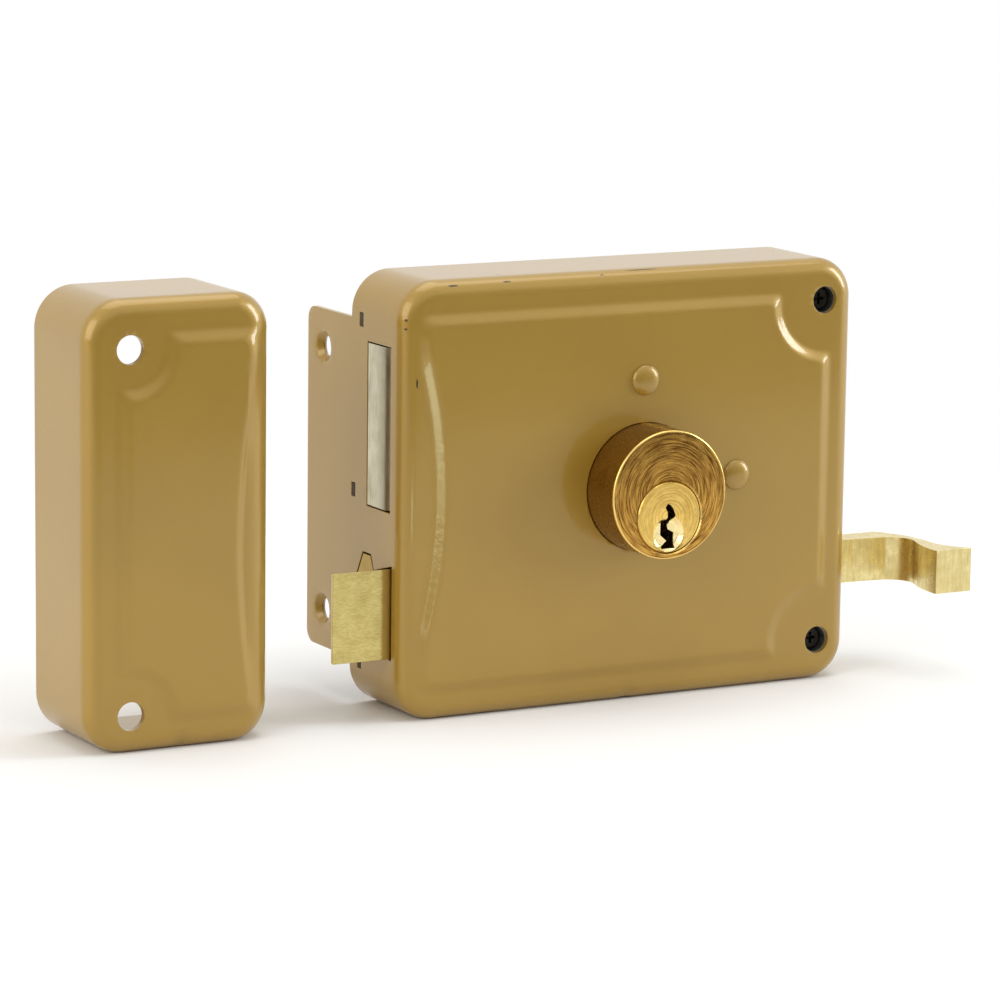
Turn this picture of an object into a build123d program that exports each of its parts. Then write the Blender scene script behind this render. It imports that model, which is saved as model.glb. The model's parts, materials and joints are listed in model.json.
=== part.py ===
from build123d import *
import math
import os

# Surface-mounted door lock with a cylinder, a latch with a pull and a separate keep.
# Millimetres. +X runs from the keep to the pull, +Y towards the door, +Z up.
# The origin is under the middle of the whole set, on the surface that it stands on.

# Case: a drawn steel shell, open at the back, whose edge plate runs on past the back as a flange
case_width = 115.5
case_height = 97.0
case_depth = 24.5
sheet = 1.2
corner_radius = 9.0
front_edge_radius = 3.5

# Raised field pressed into the case's front
field_rise = 1.0
field_slope = 2.0
field_top_inset = 7.4
field_bottom_inset = 6.4
field_right_inset = 5.6
field_left_inset = 4.6
field_left_pinch = 6.0
field_corner_radius = 3.0
field_cut_radius = 11.8

# Flange that is screwed to the door's edge
flange_reach = 21.5
flange_height = 76.5
flange_corner_radius = 3.0
flange_hole_radius = 2.6
flange_sink_radius = 3.4
flange_hole_spacing = 59.5
flange_hole_from_rear = 7.6

# Cylinder: standard setback of its axis from the edge plate
backset = 60.0
cylinder_radius = 14.4
cylinder_projection = 12.5
cylinder_rim = 0.5
cylinder_hole_clearance = 0.1
plug_share = 0.5625
plug_wall = 1.3
keyway_drawn_radius = 8.1
running_fit = 0.05
plug_recess = 0.1
keyway_depth = 13.5
funnel_radius = 3.6
funnel_depth = 0.9
funnel_taper = 45.0
funnel_offset_x = -0.2
funnel_offset_z = -3.5

# Pin tumblers in a row behind the face
pin_count = 4
pin_pitch = 2.9
pin_radius = 1.2
first_pin_from_face = 2.3
key_pin_lengths = (4.6, 3.4, 5.2, 4.0)
driver_length = 3.6
chamber_cap_height = 1.6
pin_spring_wall = 0.3
pin_spring_clearance = 0.1
pin_shear_gap = 0.1
pin_point = 0.4
plug_chamfer = 0.3

# Plate that carries the cylinder, held by two rivets that show on the front
carrier_thickness = 2.0
carrier_half_width = 29.0
carrier_half_height = 27.0
carrier_corner_radius = 4.0
carrier_bore_clearance = 0.6
cylinder_screw_inset = 3.8
cylinder_screw_radius = 1.5
cylinder_screw_reach = 8.0
cylinder_screw_head_radius = 2.6
blind_end_gap = 0.5
rivet_radius = 1.6
rivet_head_radius = 3.4
rivet_head_height = 1.3
rivet_dome_share = 0.8
rivet_tail_radius = 2.6
rivet_tail_height = 0.8
rivet_distance = 24.0
side_rivet_rise = 1.0

# Crank on the plug's tail that drives the deadbolt
cam_gap = 0.3
cam_thickness = 2.5
cam_eye_wall = 1.4
cam_hub_radius = 8.6
crank_radius = 13.0
crank_start_angle = 50.0
crank_pin_radius = 3.0
crank_spigot_radius = 2.2
crank_pin_stand = 1.4
slot_side_clearance = 0.75
slot_end_clearance = 0.5
cam_screw_offset = 4.8
cam_screw_radius = 1.2
cam_screw_reach = 4.0
cam_screw_head_height = 1.3

# Deadbolt: a plated block on a steel plate
deadbolt_height = 35.9
deadbolt_thickness = 10.6
deadbolt_length = 26.0
deadbolt_front = 5.9
deadbolt_centre_height = 64.1
deadbolt_edge_radius = 3.0
window_clearance = 0.3
plate_thickness = 2.5
plate_front = 9.6
bar_bottom = 56.0
bar_top = 68.0
bar_start = 30.0
bar_end = 110.0
lobe_bottom = 44.5
lobe_half_width = 8.0
tongue_length = 12.0
tongue_height = 26.0
plate_corner_radius = 3.0
notch_radius = 3.0
notch_depth = 1.0
leaf_thickness = 0.6
leaf_height = 6.0
leaf_end_inset = 3.0
leaf_bend = 8.0
leaf_tip_length = 4.0
leaf_tip_rise = 3.0
detent_block_width = 8.0
detent_block_height = 5.0
detent_block_inset = 7.0

# Latch: a brass bolt whose section narrows towards the door, with a bevel on the door side
latch_throw = 14.0
latch_front = 5.0
latch_rear = 21.3
latch_bottom = 13.7
latch_top = 33.8
latch_body_length = 20.0
latch_tip_land = 0.8
latch_waist = 4.4
latch_clearance = 0.4
rib_top = 35.0
rib_foot = 8.2
rib_flank = 1.6
rib_width = 3.4
tail_thickness = 2.0
tail_bottom = 19.0
tail_top = 29.5
tail_depth = 12.0
tail_overlap = 12.0
tail_rivet_inset = 5.0
tail_rivet_edge = 3.0

# Pull: a length sawn from a hooked brass section, riveted to the latch's tail
pull_height = 10.1
pull_bottom = 19.2
pull_bar_front = 12.0
pull_bar_thickness = 6.0
pull_slot_clearance = 0.5
pull_reach = 28.0
pull_leg_reach = 20.5
pull_inner_length = 28.0
rivet_pin_radius = 1.5
pull_rivet_offsets = (3.5, 8.5)

# Screws that close the case, down sleeves behind its front
screw_inset_x = 8.2
screw_inset_z = 9.3
screw_hole_radius = 3.1
screw_head_radius = 2.8
screw_head_height = 2.4
screw_radius = 1.9
sleeve_radius = 4.6
screw_recess = 1.6
screw_head_round = 0.8
cross_length = 2.6
cross_width = 0.7
cross_depth = 1.2

# Back plate and what stands on it
back_plate_thickness = 1.5
back_plate_inset = 0.5
fit_gap = 0.15
tab_height = 2.8
outer_tab_inset = 10.3
outer_tab_step = 3.4
post_radius = 2.4
post_shoulder_radius = 4.0
post_head_radius = 3.6
post_head_height = 1.2
post_clearance = 0.5
post_positions = (34.0, 83.0)
outer_cylinder_opening = 12.0
clamp_screw_spacing = 40.0
clamp_screw_radius = 2.7
channel_sheet = 1.8
channel_start = 6.0
channel_end = 22.0

# Latch spring and the bracket that it pushes against
bracket_x = 52.0
bracket_thickness = 1.8
bracket_front = 8.5
bracket_margin = 6.0
bracket_foot_length = 12.0
spring_wire_radius = 0.5
spring_radius = 3.0
spring_turns = 5
spring_bolt_gap = 1.0
spring_samples = 24

# Keep: a drawn steel box that takes both bolts, here standing beside the lock
keep_width = 44.0
keep_depth = 27.5
keep_gap = 30.0
keep_sheet = 1.5
keep_corner_radius = 9.0
keep_edge_radius = 5.0
keep_field_left_inset = 7.4
keep_field_right_inset = 4.4
keep_field_pinch = 5.0
keep_hole_radius = 3.1
keep_hole_inset = 10.0
keep_hole_from_bottom = 8.2
keep_hole_from_top = 10.6
keep_cut_radius = 8.5
mouth_clearance = 1.6

# Places that follow from the sizes
overall_left = -keep_gap - keep_width
overall_right = case_width + pull_reach
forend_x = -(overall_left + overall_right) / 2
front_y = -(case_depth + flange_reach - cylinder_projection) / 2
case_middle_x = forend_x + case_width / 2
case_right_x = forend_x + case_width
back_y = front_y + case_depth
middle_z = case_height / 2
axis_x = forend_x + backset
axis_z = middle_z
plug_radius = plug_share * cylinder_radius
plug_z = axis_z - cylinder_radius + plug_radius + plug_wall
keyway_scale = plug_radius / keyway_drawn_radius
cylinder_screw_offset = cylinder_radius - cylinder_screw_inset
plate_y = back_y - back_plate_inset - back_plate_thickness
screw_x = case_right_x - screw_inset_x
screw_heights = (screw_inset_z, case_height - screw_inset_z)
rivet_places = ((axis_x, axis_z + rivet_distance), (axis_x + rivet_distance, axis_z + side_rivet_rise))
field_y = front_y - field_rise
carrier_y = field_y + sheet
carrier_rear = carrier_y + carrier_thickness
cam_y = carrier_rear + cam_gap
deadbolt_plate_y = front_y + plate_front
tail_y = front_y + pull_bar_front - tail_thickness
crank_angle = math.radians(crank_start_angle)
crank_x = axis_x + crank_radius * math.sin(crank_angle)
crank_z = plug_z + crank_radius * math.cos(crank_angle)
deadbolt_throw = 2 * crank_radius * math.sin(crank_angle)
deadbolt_y = front_y + deadbolt_front
deadbolt_middle_y = deadbolt_y + deadbolt_thickness / 2
latch_y = front_y + latch_front
latch_rear_y = front_y + latch_rear
flange_rear_y = back_y + flange_reach
flange_hole_y = flange_rear_y - flange_hole_from_rear
pull_y = front_y + pull_bar_front
pull_x = case_right_x + pull_reach - pull_leg_reach
pull_inner_x = case_right_x - pull_inner_length
tab_y = plate_y + back_plate_thickness / 2
tab_places = (
    (tab_y - outer_tab_step, outer_tab_inset),
    (tab_y, middle_z),
    (tab_y - outer_tab_step, case_height - outer_tab_inset),
)
bar_middle_z = (bar_bottom + bar_top) / 2
notch_z = bar_top + notch_radius - notch_depth
tail_end_x = pull_inner_x + tail_overlap
tail_middle_z = (tail_bottom + tail_top) / 2
bracket_height = tail_top - tail_bottom + 2 * bracket_margin
tongue_rivets = [
    (forend_x + deadbolt_length - tongue_length / 2, bar_middle_z + side * tongue_height / 3)
    for side in (-1, 1)
]


def face_plane(y):
    """Plane facing the front at the given depth: drawn in X and Z, extruded forwards."""
    return Plane.XZ.offset(-y)


def side_plane(x):
    """Plane facing the pull's side: drawn in Y and Z, extruded towards the pull."""
    return Plane.YZ.offset(x)


def pinch_circle_radius(height, pinch):
    """Radius of the arc that draws a side in by the pinch over the given height."""
    return height * height / (8 * pinch) + pinch / 2


def latch_outline(with_rib):
    """Section of the latch in Y and Z, narrower towards the door, with or without its guide rib."""
    slope = latch_waist / (latch_rear - latch_front)
    front = [(latch_y, latch_bottom), (latch_y, latch_top)]
    rib = [
        (latch_y + rib_foot, latch_top - slope * rib_foot),
        (latch_y + rib_foot + rib_flank, rib_top),
        (latch_y + rib_foot + rib_flank + rib_width, rib_top),
    ]
    rear = [(latch_rear_y, latch_top - latch_waist), (latch_rear_y, latch_bottom + latch_waist)]
    return front + (rib if with_rib else []) + rear


def save(piece, name):
    """Label a finished piece and write its file."""
    piece.label = name
    export_step(piece, f"parts/{name}.step")


os.makedirs("parts", exist_ok=True)

# Case shell: drawn shell with its raised field, flange, windows and holes
field_height = case_height - field_top_inset - field_bottom_inset
field_middle_z = field_bottom_inset + field_height / 2
field_left = forend_x + field_left_inset
field_right = case_right_x - field_right_inset
field_pinch_radius = pinch_circle_radius(field_height, field_left_pinch)
field_taper = math.degrees(math.atan(field_slope / field_rise))

with BuildPart() as case_shell:
    with BuildSketch(face_plane(back_y)):
        with Locations((case_middle_x, middle_z)):
            RectangleRounded(case_width, case_height, corner_radius)
    extrude(amount=case_depth)
    fillet(case_shell.faces().sort_by(Axis.Y)[0].edges(), front_edge_radius)
    with BuildSketch(face_plane(front_y)) as field:
        with Locations(((field_left + field_right) / 2, field_middle_z)):
            Rectangle(field_right - field_left, field_height)
        with Locations((field_left + field_left_pinch - field_pinch_radius, field_middle_z)):
            Circle(field_pinch_radius, mode=Mode.SUBTRACT)
        with Locations([(screw_x, z) for z in screw_heights]):
            Circle(field_cut_radius, mode=Mode.SUBTRACT)
        fillet(field.vertices(), field_corner_radius)
    extrude(amount=field_rise, taper=field_taper)
    offset(amount=-sheet, openings=case_shell.faces().sort_by(Axis.Y)[-1])
    with BuildSketch(side_plane(forend_x)) as flange:
        with Locations(((back_y - sheet + flange_rear_y) / 2, middle_z)):
            Rectangle(flange_rear_y - back_y + sheet, flange_height)
        fillet(flange.vertices().group_by(Axis.X)[-1], flange_corner_radius)
    extrude(amount=sheet)
    for side in (-1, 1):
        hole_z = middle_z + side * flange_hole_spacing / 2
        with Locations(Plane(origin=(forend_x, flange_hole_y, hole_z), z_dir=(-1, 0, 0))):
            CounterSinkHole(flange_hole_radius, flange_sink_radius, depth=2 * sheet)
    with BuildSketch(side_plane(forend_x - sheet)):
        with Locations((deadbolt_middle_y, deadbolt_centre_height)):
            Rectangle(deadbolt_thickness + 2 * window_clearance, deadbolt_height + 2 * window_clearance)
        with Locations(tab_places):
            Rectangle(back_plate_thickness + 2 * fit_gap, tab_height + 2 * fit_gap)
    extrude(amount=3 * sheet, mode=Mode.SUBTRACT)
    with BuildSketch(side_plane(forend_x - sheet)):
        with BuildLine():
            Polyline(*latch_outline(True), close=True)
        make_face()
        offset(amount=latch_clearance, kind=Kind.INTERSECTION)
    extrude(amount=3 * sheet, mode=Mode.SUBTRACT)
    with BuildSketch(face_plane(field_y - sheet)):
        with Locations((axis_x, axis_z)):
            Circle(cylinder_radius + cylinder_hole_clearance)
        with Locations(rivet_places):
            Circle(rivet_radius)
        with Locations([(screw_x, z) for z in screw_heights]):
            Circle(screw_hole_radius)
    extrude(amount=-(field_rise + 3 * sheet), mode=Mode.SUBTRACT)
    with BuildSketch(side_plane(case_right_x - 2 * sheet)):
        with Locations((pull_y + pull_bar_thickness / 2, pull_bottom + pull_height / 2)):
            Rectangle(pull_bar_thickness + 2 * pull_slot_clearance, pull_height + 2 * pull_slot_clearance)
    extrude(amount=3 * sheet, mode=Mode.SUBTRACT)
save(case_shell.part, "case_shell")

# Back plate: three tabs hook into the edge plate, the outer two stepped forwards
inner_gap = sheet + fit_gap

with BuildPart() as back_plate:
    with BuildSketch(face_plane(plate_y + back_plate_thickness)):
        with Locations((case_middle_x, middle_z)):
            RectangleRounded(case_width - 2 * inner_gap, case_height - 2 * inner_gap, corner_radius - inner_gap)
        with Locations((axis_x, axis_z)):
            Circle(outer_cylinder_opening, mode=Mode.SUBTRACT)
        with Locations([(axis_x + side * clamp_screw_spacing / 2, axis_z) for side in (-1, 1)]):
            Circle(clamp_screw_radius, mode=Mode.SUBTRACT)
        with Locations([(screw_x, z) for z in screw_heights]):
            Circle(screw_radius, mode=Mode.SUBTRACT)
    extrude(amount=back_plate_thickness)
    for tab_middle_y, tab_z in tab_places:
        with BuildSketch(side_plane(forend_x)):
            with Locations((tab_middle_y, tab_z)):
                Rectangle(back_plate_thickness, tab_height)
        extrude(amount=inner_gap + back_plate_thickness)
        with BuildSketch(side_plane(forend_x + inner_gap)):
            with Locations(((tab_middle_y + tab_y) / 2, tab_z)):
                Rectangle(tab_y - tab_middle_y + back_plate_thickness, tab_height)
        extrude(amount=back_plate_thickness)
save(back_plate.part, "back_plate")

# Sleeves behind the front for the closing screws, and the screws themselves
sleeve_front = front_y + sheet
with BuildPart() as screw_sleeves:
    with BuildSketch(face_plane(plate_y)):
        with Locations([(screw_x, z) for z in screw_heights]):
            Circle(sleeve_radius)
            Circle(screw_radius + fit_gap, mode=Mode.SUBTRACT)
    extrude(amount=plate_y - sleeve_front)
    with BuildSketch(face_plane(sleeve_front + screw_recess + screw_head_height)):
        with Locations([(screw_x, z) for z in screw_heights]):
            Circle(screw_head_radius + fit_gap)
    extrude(amount=screw_recess + screw_head_height, mode=Mode.SUBTRACT)
save(screw_sleeves.part, "screw_sleeves")

with BuildPart() as closing_screws:
    with BuildSketch(face_plane(plate_y + back_plate_thickness)):
        with Locations([(screw_x, z) for z in screw_heights]):
            Circle(screw_radius)
    extrude(amount=plate_y + back_plate_thickness - sleeve_front - screw_recess)
    with BuildSketch(face_plane(sleeve_front + screw_recess + screw_head_height)):
        with Locations([(screw_x, z) for z in screw_heights]):
            Circle(screw_head_radius)
    extrude(amount=screw_head_height)
    fillet(closing_screws.faces().group_by(Axis.Y)[0].edges(), screw_head_round)
    for z in screw_heights:
        with BuildSketch(face_plane(sleeve_front + screw_recess)):
            with Locations((screw_x, z)):
                Rectangle(cross_length, cross_width)
                Rectangle(cross_width, cross_length)
        extrude(amount=-cross_depth, mode=Mode.SUBTRACT)
save(closing_screws.part, "closing_screws")

# Carrier plate behind the front, and its two rivets with low domed heads
with BuildPart() as cylinder_carrier:
    with BuildSketch(face_plane(carrier_rear)):
        with Locations((axis_x, axis_z)):
            RectangleRounded(2 * carrier_half_width, 2 * carrier_half_height, carrier_corner_radius)
        with Locations((axis_x, plug_z)):
            Circle(plug_radius + carrier_bore_clearance, mode=Mode.SUBTRACT)
        with Locations(rivet_places):
            Circle(rivet_radius, mode=Mode.SUBTRACT)
    extrude(amount=carrier_thickness)
    for side in (-1, 1):
        place = Plane(origin=(axis_x + side * cylinder_screw_offset, carrier_rear, axis_z), z_dir=(0, 1, 0))
        with Locations(place):
            CounterSinkHole(cylinder_screw_radius, cylinder_screw_head_radius, depth=2 * carrier_thickness)
save(cylinder_carrier.part, "cylinder_carrier")

with BuildPart() as carrier_rivets:
    for rivet_x, rivet_z in rivet_places:
        with BuildSketch(face_plane(field_y)):
            with Locations((rivet_x, rivet_z)):
                Circle(rivet_head_radius)
        extrude(amount=rivet_head_height)
    fillet(carrier_rivets.faces().group_by(Axis.Y)[0].edges(), rivet_head_height * rivet_dome_share)
    for rivet_x, rivet_z in rivet_places:
        with BuildSketch(face_plane(carrier_rear)):
            with Locations((rivet_x, rivet_z)):
                Circle(rivet_radius)
        extrude(amount=carrier_rear - field_y)
        with BuildSketch(face_plane(carrier_rear + rivet_tail_height)):
            with Locations((rivet_x, rivet_z)):
                Circle(rivet_tail_radius)
        extrude(amount=rivet_tail_height)
save(carrier_rivets.part, "carrier_rivets")

# Countersunk screws that hold the cylinder from behind
cylinder_screw_places = [(axis_x + side * cylinder_screw_offset, axis_z) for side in (-1, 1)]
with BuildPart() as cylinder_screws:
    for place_x, place_z in cylinder_screw_places:
        with BuildSketch(face_plane(carrier_rear)):
            with Locations((place_x, place_z)):
                Circle(cylinder_screw_radius)
        extrude(amount=carrier_thickness + cylinder_screw_reach - blind_end_gap)
        with BuildSketch(face_plane(carrier_rear)):
            with Locations((place_x, place_z)):
                Circle(cylinder_screw_head_radius - running_fit)
        extrude(amount=cylinder_screw_head_radius - cylinder_screw_radius, taper=45)
save(cylinder_screws.part, "cylinder_screws")

# Cylinder body, bored below its middle for the plug and from its top for the pins
face_y = front_y - cylinder_projection
pin_depths = [face_y + first_pin_from_face + i * pin_pitch for i in range(pin_count)]
shear_z = plug_z + plug_radius + running_fit

with BuildPart() as cylinder_body:
    with BuildSketch(face_plane(carrier_y)):
        with Locations((axis_x, axis_z)):
            Circle(cylinder_radius)
    extrude(amount=carrier_y - face_y)
    chamfer(cylinder_body.faces().sort_by(Axis.Y)[0].edges(), cylinder_rim)
    with BuildSketch(face_plane(carrier_y)):
        with Locations((axis_x, plug_z)):
            Circle(plug_radius + running_fit)
    extrude(amount=carrier_y - face_y, mode=Mode.SUBTRACT)
    with BuildSketch(face_plane(carrier_y)):
        with Locations(cylinder_screw_places):
            Circle(cylinder_screw_radius)
    extrude(amount=cylinder_screw_reach, mode=Mode.SUBTRACT)
    with BuildSketch(Plane.XY.offset(plug_z)):
        with Locations([(axis_x, y) for y in pin_depths]):
            Circle(pin_radius + running_fit)
    extrude(amount=2 * cylinder_radius, mode=Mode.SUBTRACT)
save(cylinder_body.part, "cylinder_body")

# Plug with its keyway and the polished funnel round the key's entry
plug_rear = cam_y
key_outline = [
    (-0.35, 3.1), (-0.85, 2.2), (-0.35, 1.2), (-0.3, -0.5), (-1.4, -1.0), (-1.45, -4.0), (-0.1, -5.4),
    (-1.4, -6.8), (-1.4, -7.2), (1.4, -7.2), (1.4, -5.9), (1.3, -4.8), (1.4, -3.6), (0.1, -2.8),
    (-0.1, -1.9), (0.6, -0.8), (1.3, 0.3), (0.9, 1.7), (0.3, 2.7),
]
with BuildPart() as plug:
    with BuildSketch(face_plane(plug_rear)):
        with Locations((axis_x, plug_z)):
            Circle(plug_radius)
    extrude(amount=plug_rear - face_y - plug_recess)
    chamfer(plug.faces().sort_by(Axis.Y)[0].edges(), plug_chamfer)
    with BuildSketch(Plane(origin=(axis_x, face_y + plug_recess, plug_z), x_dir=(1, 0, 0), z_dir=(0, -1, 0))):
        with BuildLine():
            Polyline(*[(x * keyway_scale, z * keyway_scale) for x, z in key_outline], close=True)
        make_face()
    extrude(amount=-keyway_depth, mode=Mode.SUBTRACT)
    with BuildSketch(Plane(origin=(axis_x, face_y + plug_recess, plug_z), x_dir=(1, 0, 0), z_dir=(0, -1, 0))):
        with Locations((funnel_offset_x * keyway_scale, funnel_offset_z * keyway_scale)):
            Circle(funnel_radius * keyway_scale)
    extrude(amount=-funnel_depth, taper=funnel_taper, mode=Mode.SUBTRACT)
    with BuildSketch(Plane.XY.offset(plug_z)):
        with Locations([(axis_x, y) for y in pin_depths]):
            Circle(pin_radius + running_fit)
    extrude(amount=2 * plug_radius, mode=Mode.SUBTRACT)
    with BuildSketch(face_plane(plug_rear)):
        with Locations([(axis_x + side * cam_screw_offset, plug_z) for side in (-1, 1)]):
            Circle(cam_screw_radius)
    extrude(amount=cam_screw_reach, mode=Mode.SUBTRACT)
save(plug.part, "plug")

# Key pins in the plug, standing at the shear line as the right key sets them
pin_top = plug_z + plug_radius - pin_shear_gap
with BuildPart() as key_pins:
    for y, length in zip(pin_depths, key_pin_lengths):
        with BuildSketch(Plane.XY.offset(pin_top - length)):
            with Locations((axis_x, y)):
                Circle(pin_radius)
        extrude(amount=length)
    chamfer(key_pins.faces().filter_by(Plane.XY).group_by(Axis.Z)[0].edges(), pin_point)
save(key_pins.part, "key_pins")

# Driver pins, their springs and the caps that close the pin holes
driver_bottom = shear_z + running_fit
driver_top = driver_bottom + driver_length
cap_bottom = axis_z + cylinder_radius - chamber_cap_height
with BuildPart() as driver_pins:
    with BuildSketch(Plane.XY.offset(driver_bottom)):
        with Locations([(axis_x, y) for y in pin_depths]):
            Circle(pin_radius)
    extrude(amount=driver_length)
save(driver_pins.part, "driver_pins")

with BuildPart() as chamber_caps:
    with BuildSketch(Plane.XY.offset(cap_bottom)):
        with Locations([(axis_x, y) for y in pin_depths]):
            Circle(pin_radius + running_fit)
    extrude(amount=2 * chamber_cap_height)
    with BuildSketch(face_plane(carrier_y)):
        with Locations((axis_x, axis_z)):
            Circle(cylinder_radius)
    extrude(amount=carrier_y - face_y, mode=Mode.INTERSECT)
save(chamber_caps.part, "chamber_caps")

with BuildPart() as pin_springs:
    with BuildSketch(Plane.XY.offset(driver_top)):
        with Locations([(axis_x, y) for y in pin_depths]):
            Circle(pin_radius - pin_spring_clearance)
            Circle(pin_radius - pin_spring_clearance - pin_spring_wall, mode=Mode.SUBTRACT)
    extrude(amount=cap_bottom - driver_top)
save(pin_springs.part, "pin_springs")

# Crank plate on the plug's tail, its two screws and its pin
with BuildPart() as cam_plate:
    with BuildSketch(face_plane(cam_y + cam_thickness)):
        with Locations((axis_x, plug_z)):
            Circle(cam_hub_radius)
        with Locations((crank_x, crank_z)):
            Circle(crank_pin_radius + cam_eye_wall)
        make_hull()
        with Locations((crank_x, crank_z)):
            Circle(crank_spigot_radius, mode=Mode.SUBTRACT)
        with Locations([(axis_x + side * cam_screw_offset, plug_z) for side in (-1, 1)]):
            Circle(cam_screw_radius, mode=Mode.SUBTRACT)
    extrude(amount=cam_thickness)
save(cam_plate.part, "cam_plate")

cam_rear = cam_y + cam_thickness
with BuildPart() as cam_screws:
    with BuildSketch(face_plane(cam_rear)):
        with Locations([(axis_x + side * cam_screw_offset, plug_z) for side in (-1, 1)]):
            Circle(cam_screw_radius)
    extrude(amount=cam_thickness + cam_screw_reach - blind_end_gap)
    with BuildSketch(face_plane(cam_rear + cam_screw_head_height)):
        with Locations([(axis_x + side * cam_screw_offset, plug_z) for side in (-1, 1)]):
            Circle(2 * cam_screw_radius)
    extrude(amount=cam_screw_head_height)
save(cam_screws.part, "cam_screws")

with BuildPart() as cam_pin:
    with BuildSketch(face_plane(cam_rear)):
        with Locations((crank_x, crank_z)):
            Circle(crank_spigot_radius)
    extrude(amount=cam_thickness)
    with BuildSketch(face_plane(deadbolt_plate_y + plate_thickness + crank_pin_stand)):
        with Locations((crank_x, crank_z)):
            Circle(crank_pin_radius)
    extrude(amount=deadbolt_plate_y + plate_thickness + crank_pin_stand - cam_rear)
save(cam_pin.part, "cam_pin")

# Deadbolt: a block with a rounded front edge, slotted at its inner end for its plate
with BuildPart() as deadbolt:
    with BuildSketch(side_plane(forend_x)):
        with Locations((deadbolt_middle_y, deadbolt_centre_height)):
            Rectangle(deadbolt_thickness, deadbolt_height)
    extrude(amount=deadbolt_length)
    front_edge = deadbolt.faces().sort_by(Axis.X)[0].edges().filter_by(Axis.Z).sort_by(Axis.Y)[0]
    fillet(front_edge, deadbolt_edge_radius)
    with BuildSketch(face_plane(deadbolt_plate_y + plate_thickness + fit_gap)):
        with Locations((forend_x + deadbolt_length, bar_middle_z)):
            Rectangle(2 * tongue_length, tongue_height + 2 * fit_gap)
    extrude(amount=plate_thickness + 2 * fit_gap, mode=Mode.SUBTRACT)
    with BuildSketch(face_plane(deadbolt_y + deadbolt_thickness)):
        with Locations(tongue_rivets):
            Circle(rivet_pin_radius)
    extrude(amount=deadbolt_thickness, mode=Mode.SUBTRACT)
save(deadbolt.part, "deadbolt")

with BuildPart() as deadbolt_plate:
    with BuildSketch(face_plane(deadbolt_plate_y + plate_thickness)) as plate_shape:
        with Locations((forend_x + (deadbolt_length - tongue_length + bar_start) / 2, bar_middle_z)):
            Rectangle(bar_start - deadbolt_length + tongue_length, tongue_height)
        with Locations((forend_x + (deadbolt_length + bar_end) / 2, bar_middle_z)):
            Rectangle(bar_end - deadbolt_length, bar_top - bar_bottom)
        with Locations((crank_x, (lobe_bottom + bar_middle_z) / 2)):
            Rectangle(2 * lobe_half_width, bar_middle_z - lobe_bottom)
        fillet(plate_shape.vertices().group_by(Axis.X)[-1], plate_corner_radius)
        fillet(plate_shape.vertices().group_by(Axis.Y)[0], plate_corner_radius)
        with Locations((crank_x, (crank_z + plug_z + crank_radius) / 2)):
            SlotCenterToCenter(
                plug_z + crank_radius - crank_z + 2 * slot_end_clearance,
                2 * (crank_pin_radius + slot_side_clearance),
                rotation=90,
                mode=Mode.SUBTRACT,
            )
        with Locations([(forend_x + post + deadbolt_throw / 2, bar_middle_z) for post in post_positions]):
            SlotCenterToCenter(
                deadbolt_throw + 2 * slot_end_clearance,
                2 * (post_radius + post_clearance),
                mode=Mode.SUBTRACT,
            )
        with Locations(tongue_rivets):
            Circle(rivet_pin_radius, mode=Mode.SUBTRACT)
        with Locations([(crank_x + side * deadbolt_throw / 2, notch_z) for side in (0, 1)]):
            Circle(notch_radius, mode=Mode.SUBTRACT)
    extrude(amount=plate_thickness)
save(deadbolt_plate.part, "deadbolt_plate")

with BuildPart() as deadbolt_rivets:
    with BuildSketch(face_plane(deadbolt_y + deadbolt_thickness)):
        with Locations(tongue_rivets):
            Circle(rivet_pin_radius)
    extrude(amount=deadbolt_thickness)
save(deadbolt_rivets.part, "deadbolt_rivets")

# Posts on the back plate: a shoulder behind the deadbolt plate and a head in front of it
post_places = [(forend_x + post, bar_middle_z) for post in post_positions]
shoulder_y = deadbolt_plate_y + plate_thickness + fit_gap
with BuildPart() as guide_posts:
    with BuildSketch(face_plane(plate_y)):
        with Locations(post_places):
            Circle(post_shoulder_radius)
    extrude(amount=plate_y - shoulder_y)
    with BuildSketch(face_plane(shoulder_y)):
        with Locations(post_places):
            Circle(post_radius)
    extrude(amount=plate_thickness + 2 * fit_gap)
    with BuildSketch(face_plane(deadbolt_plate_y - fit_gap)):
        with Locations(post_places):
            Circle(post_head_radius)
    extrude(amount=post_head_height)
save(guide_posts.part, "guide_posts")

# Channel on the back plate that guides the deadbolt
channel_leg = deadbolt_height / 2 + window_clearance
with BuildPart() as deadbolt_guide:
    with BuildSketch(side_plane(forend_x + channel_start)):
        with BuildLine():
            Polyline(
                (deadbolt_y, deadbolt_centre_height - channel_leg),
                (plate_y - channel_sheet, deadbolt_centre_height - channel_leg),
                (plate_y - channel_sheet, deadbolt_centre_height + channel_leg),
                (deadbolt_y, deadbolt_centre_height + channel_leg),
                (deadbolt_y, deadbolt_centre_height + channel_leg + channel_sheet),
                (plate_y, deadbolt_centre_height + channel_leg + channel_sheet),
                (plate_y, deadbolt_centre_height - channel_leg - channel_sheet),
                (deadbolt_y, deadbolt_centre_height - channel_leg - channel_sheet),
                close=True,
            )
        make_face()
    extrude(amount=channel_end - channel_start)
save(deadbolt_guide.part, "deadbolt_guide")

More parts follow.
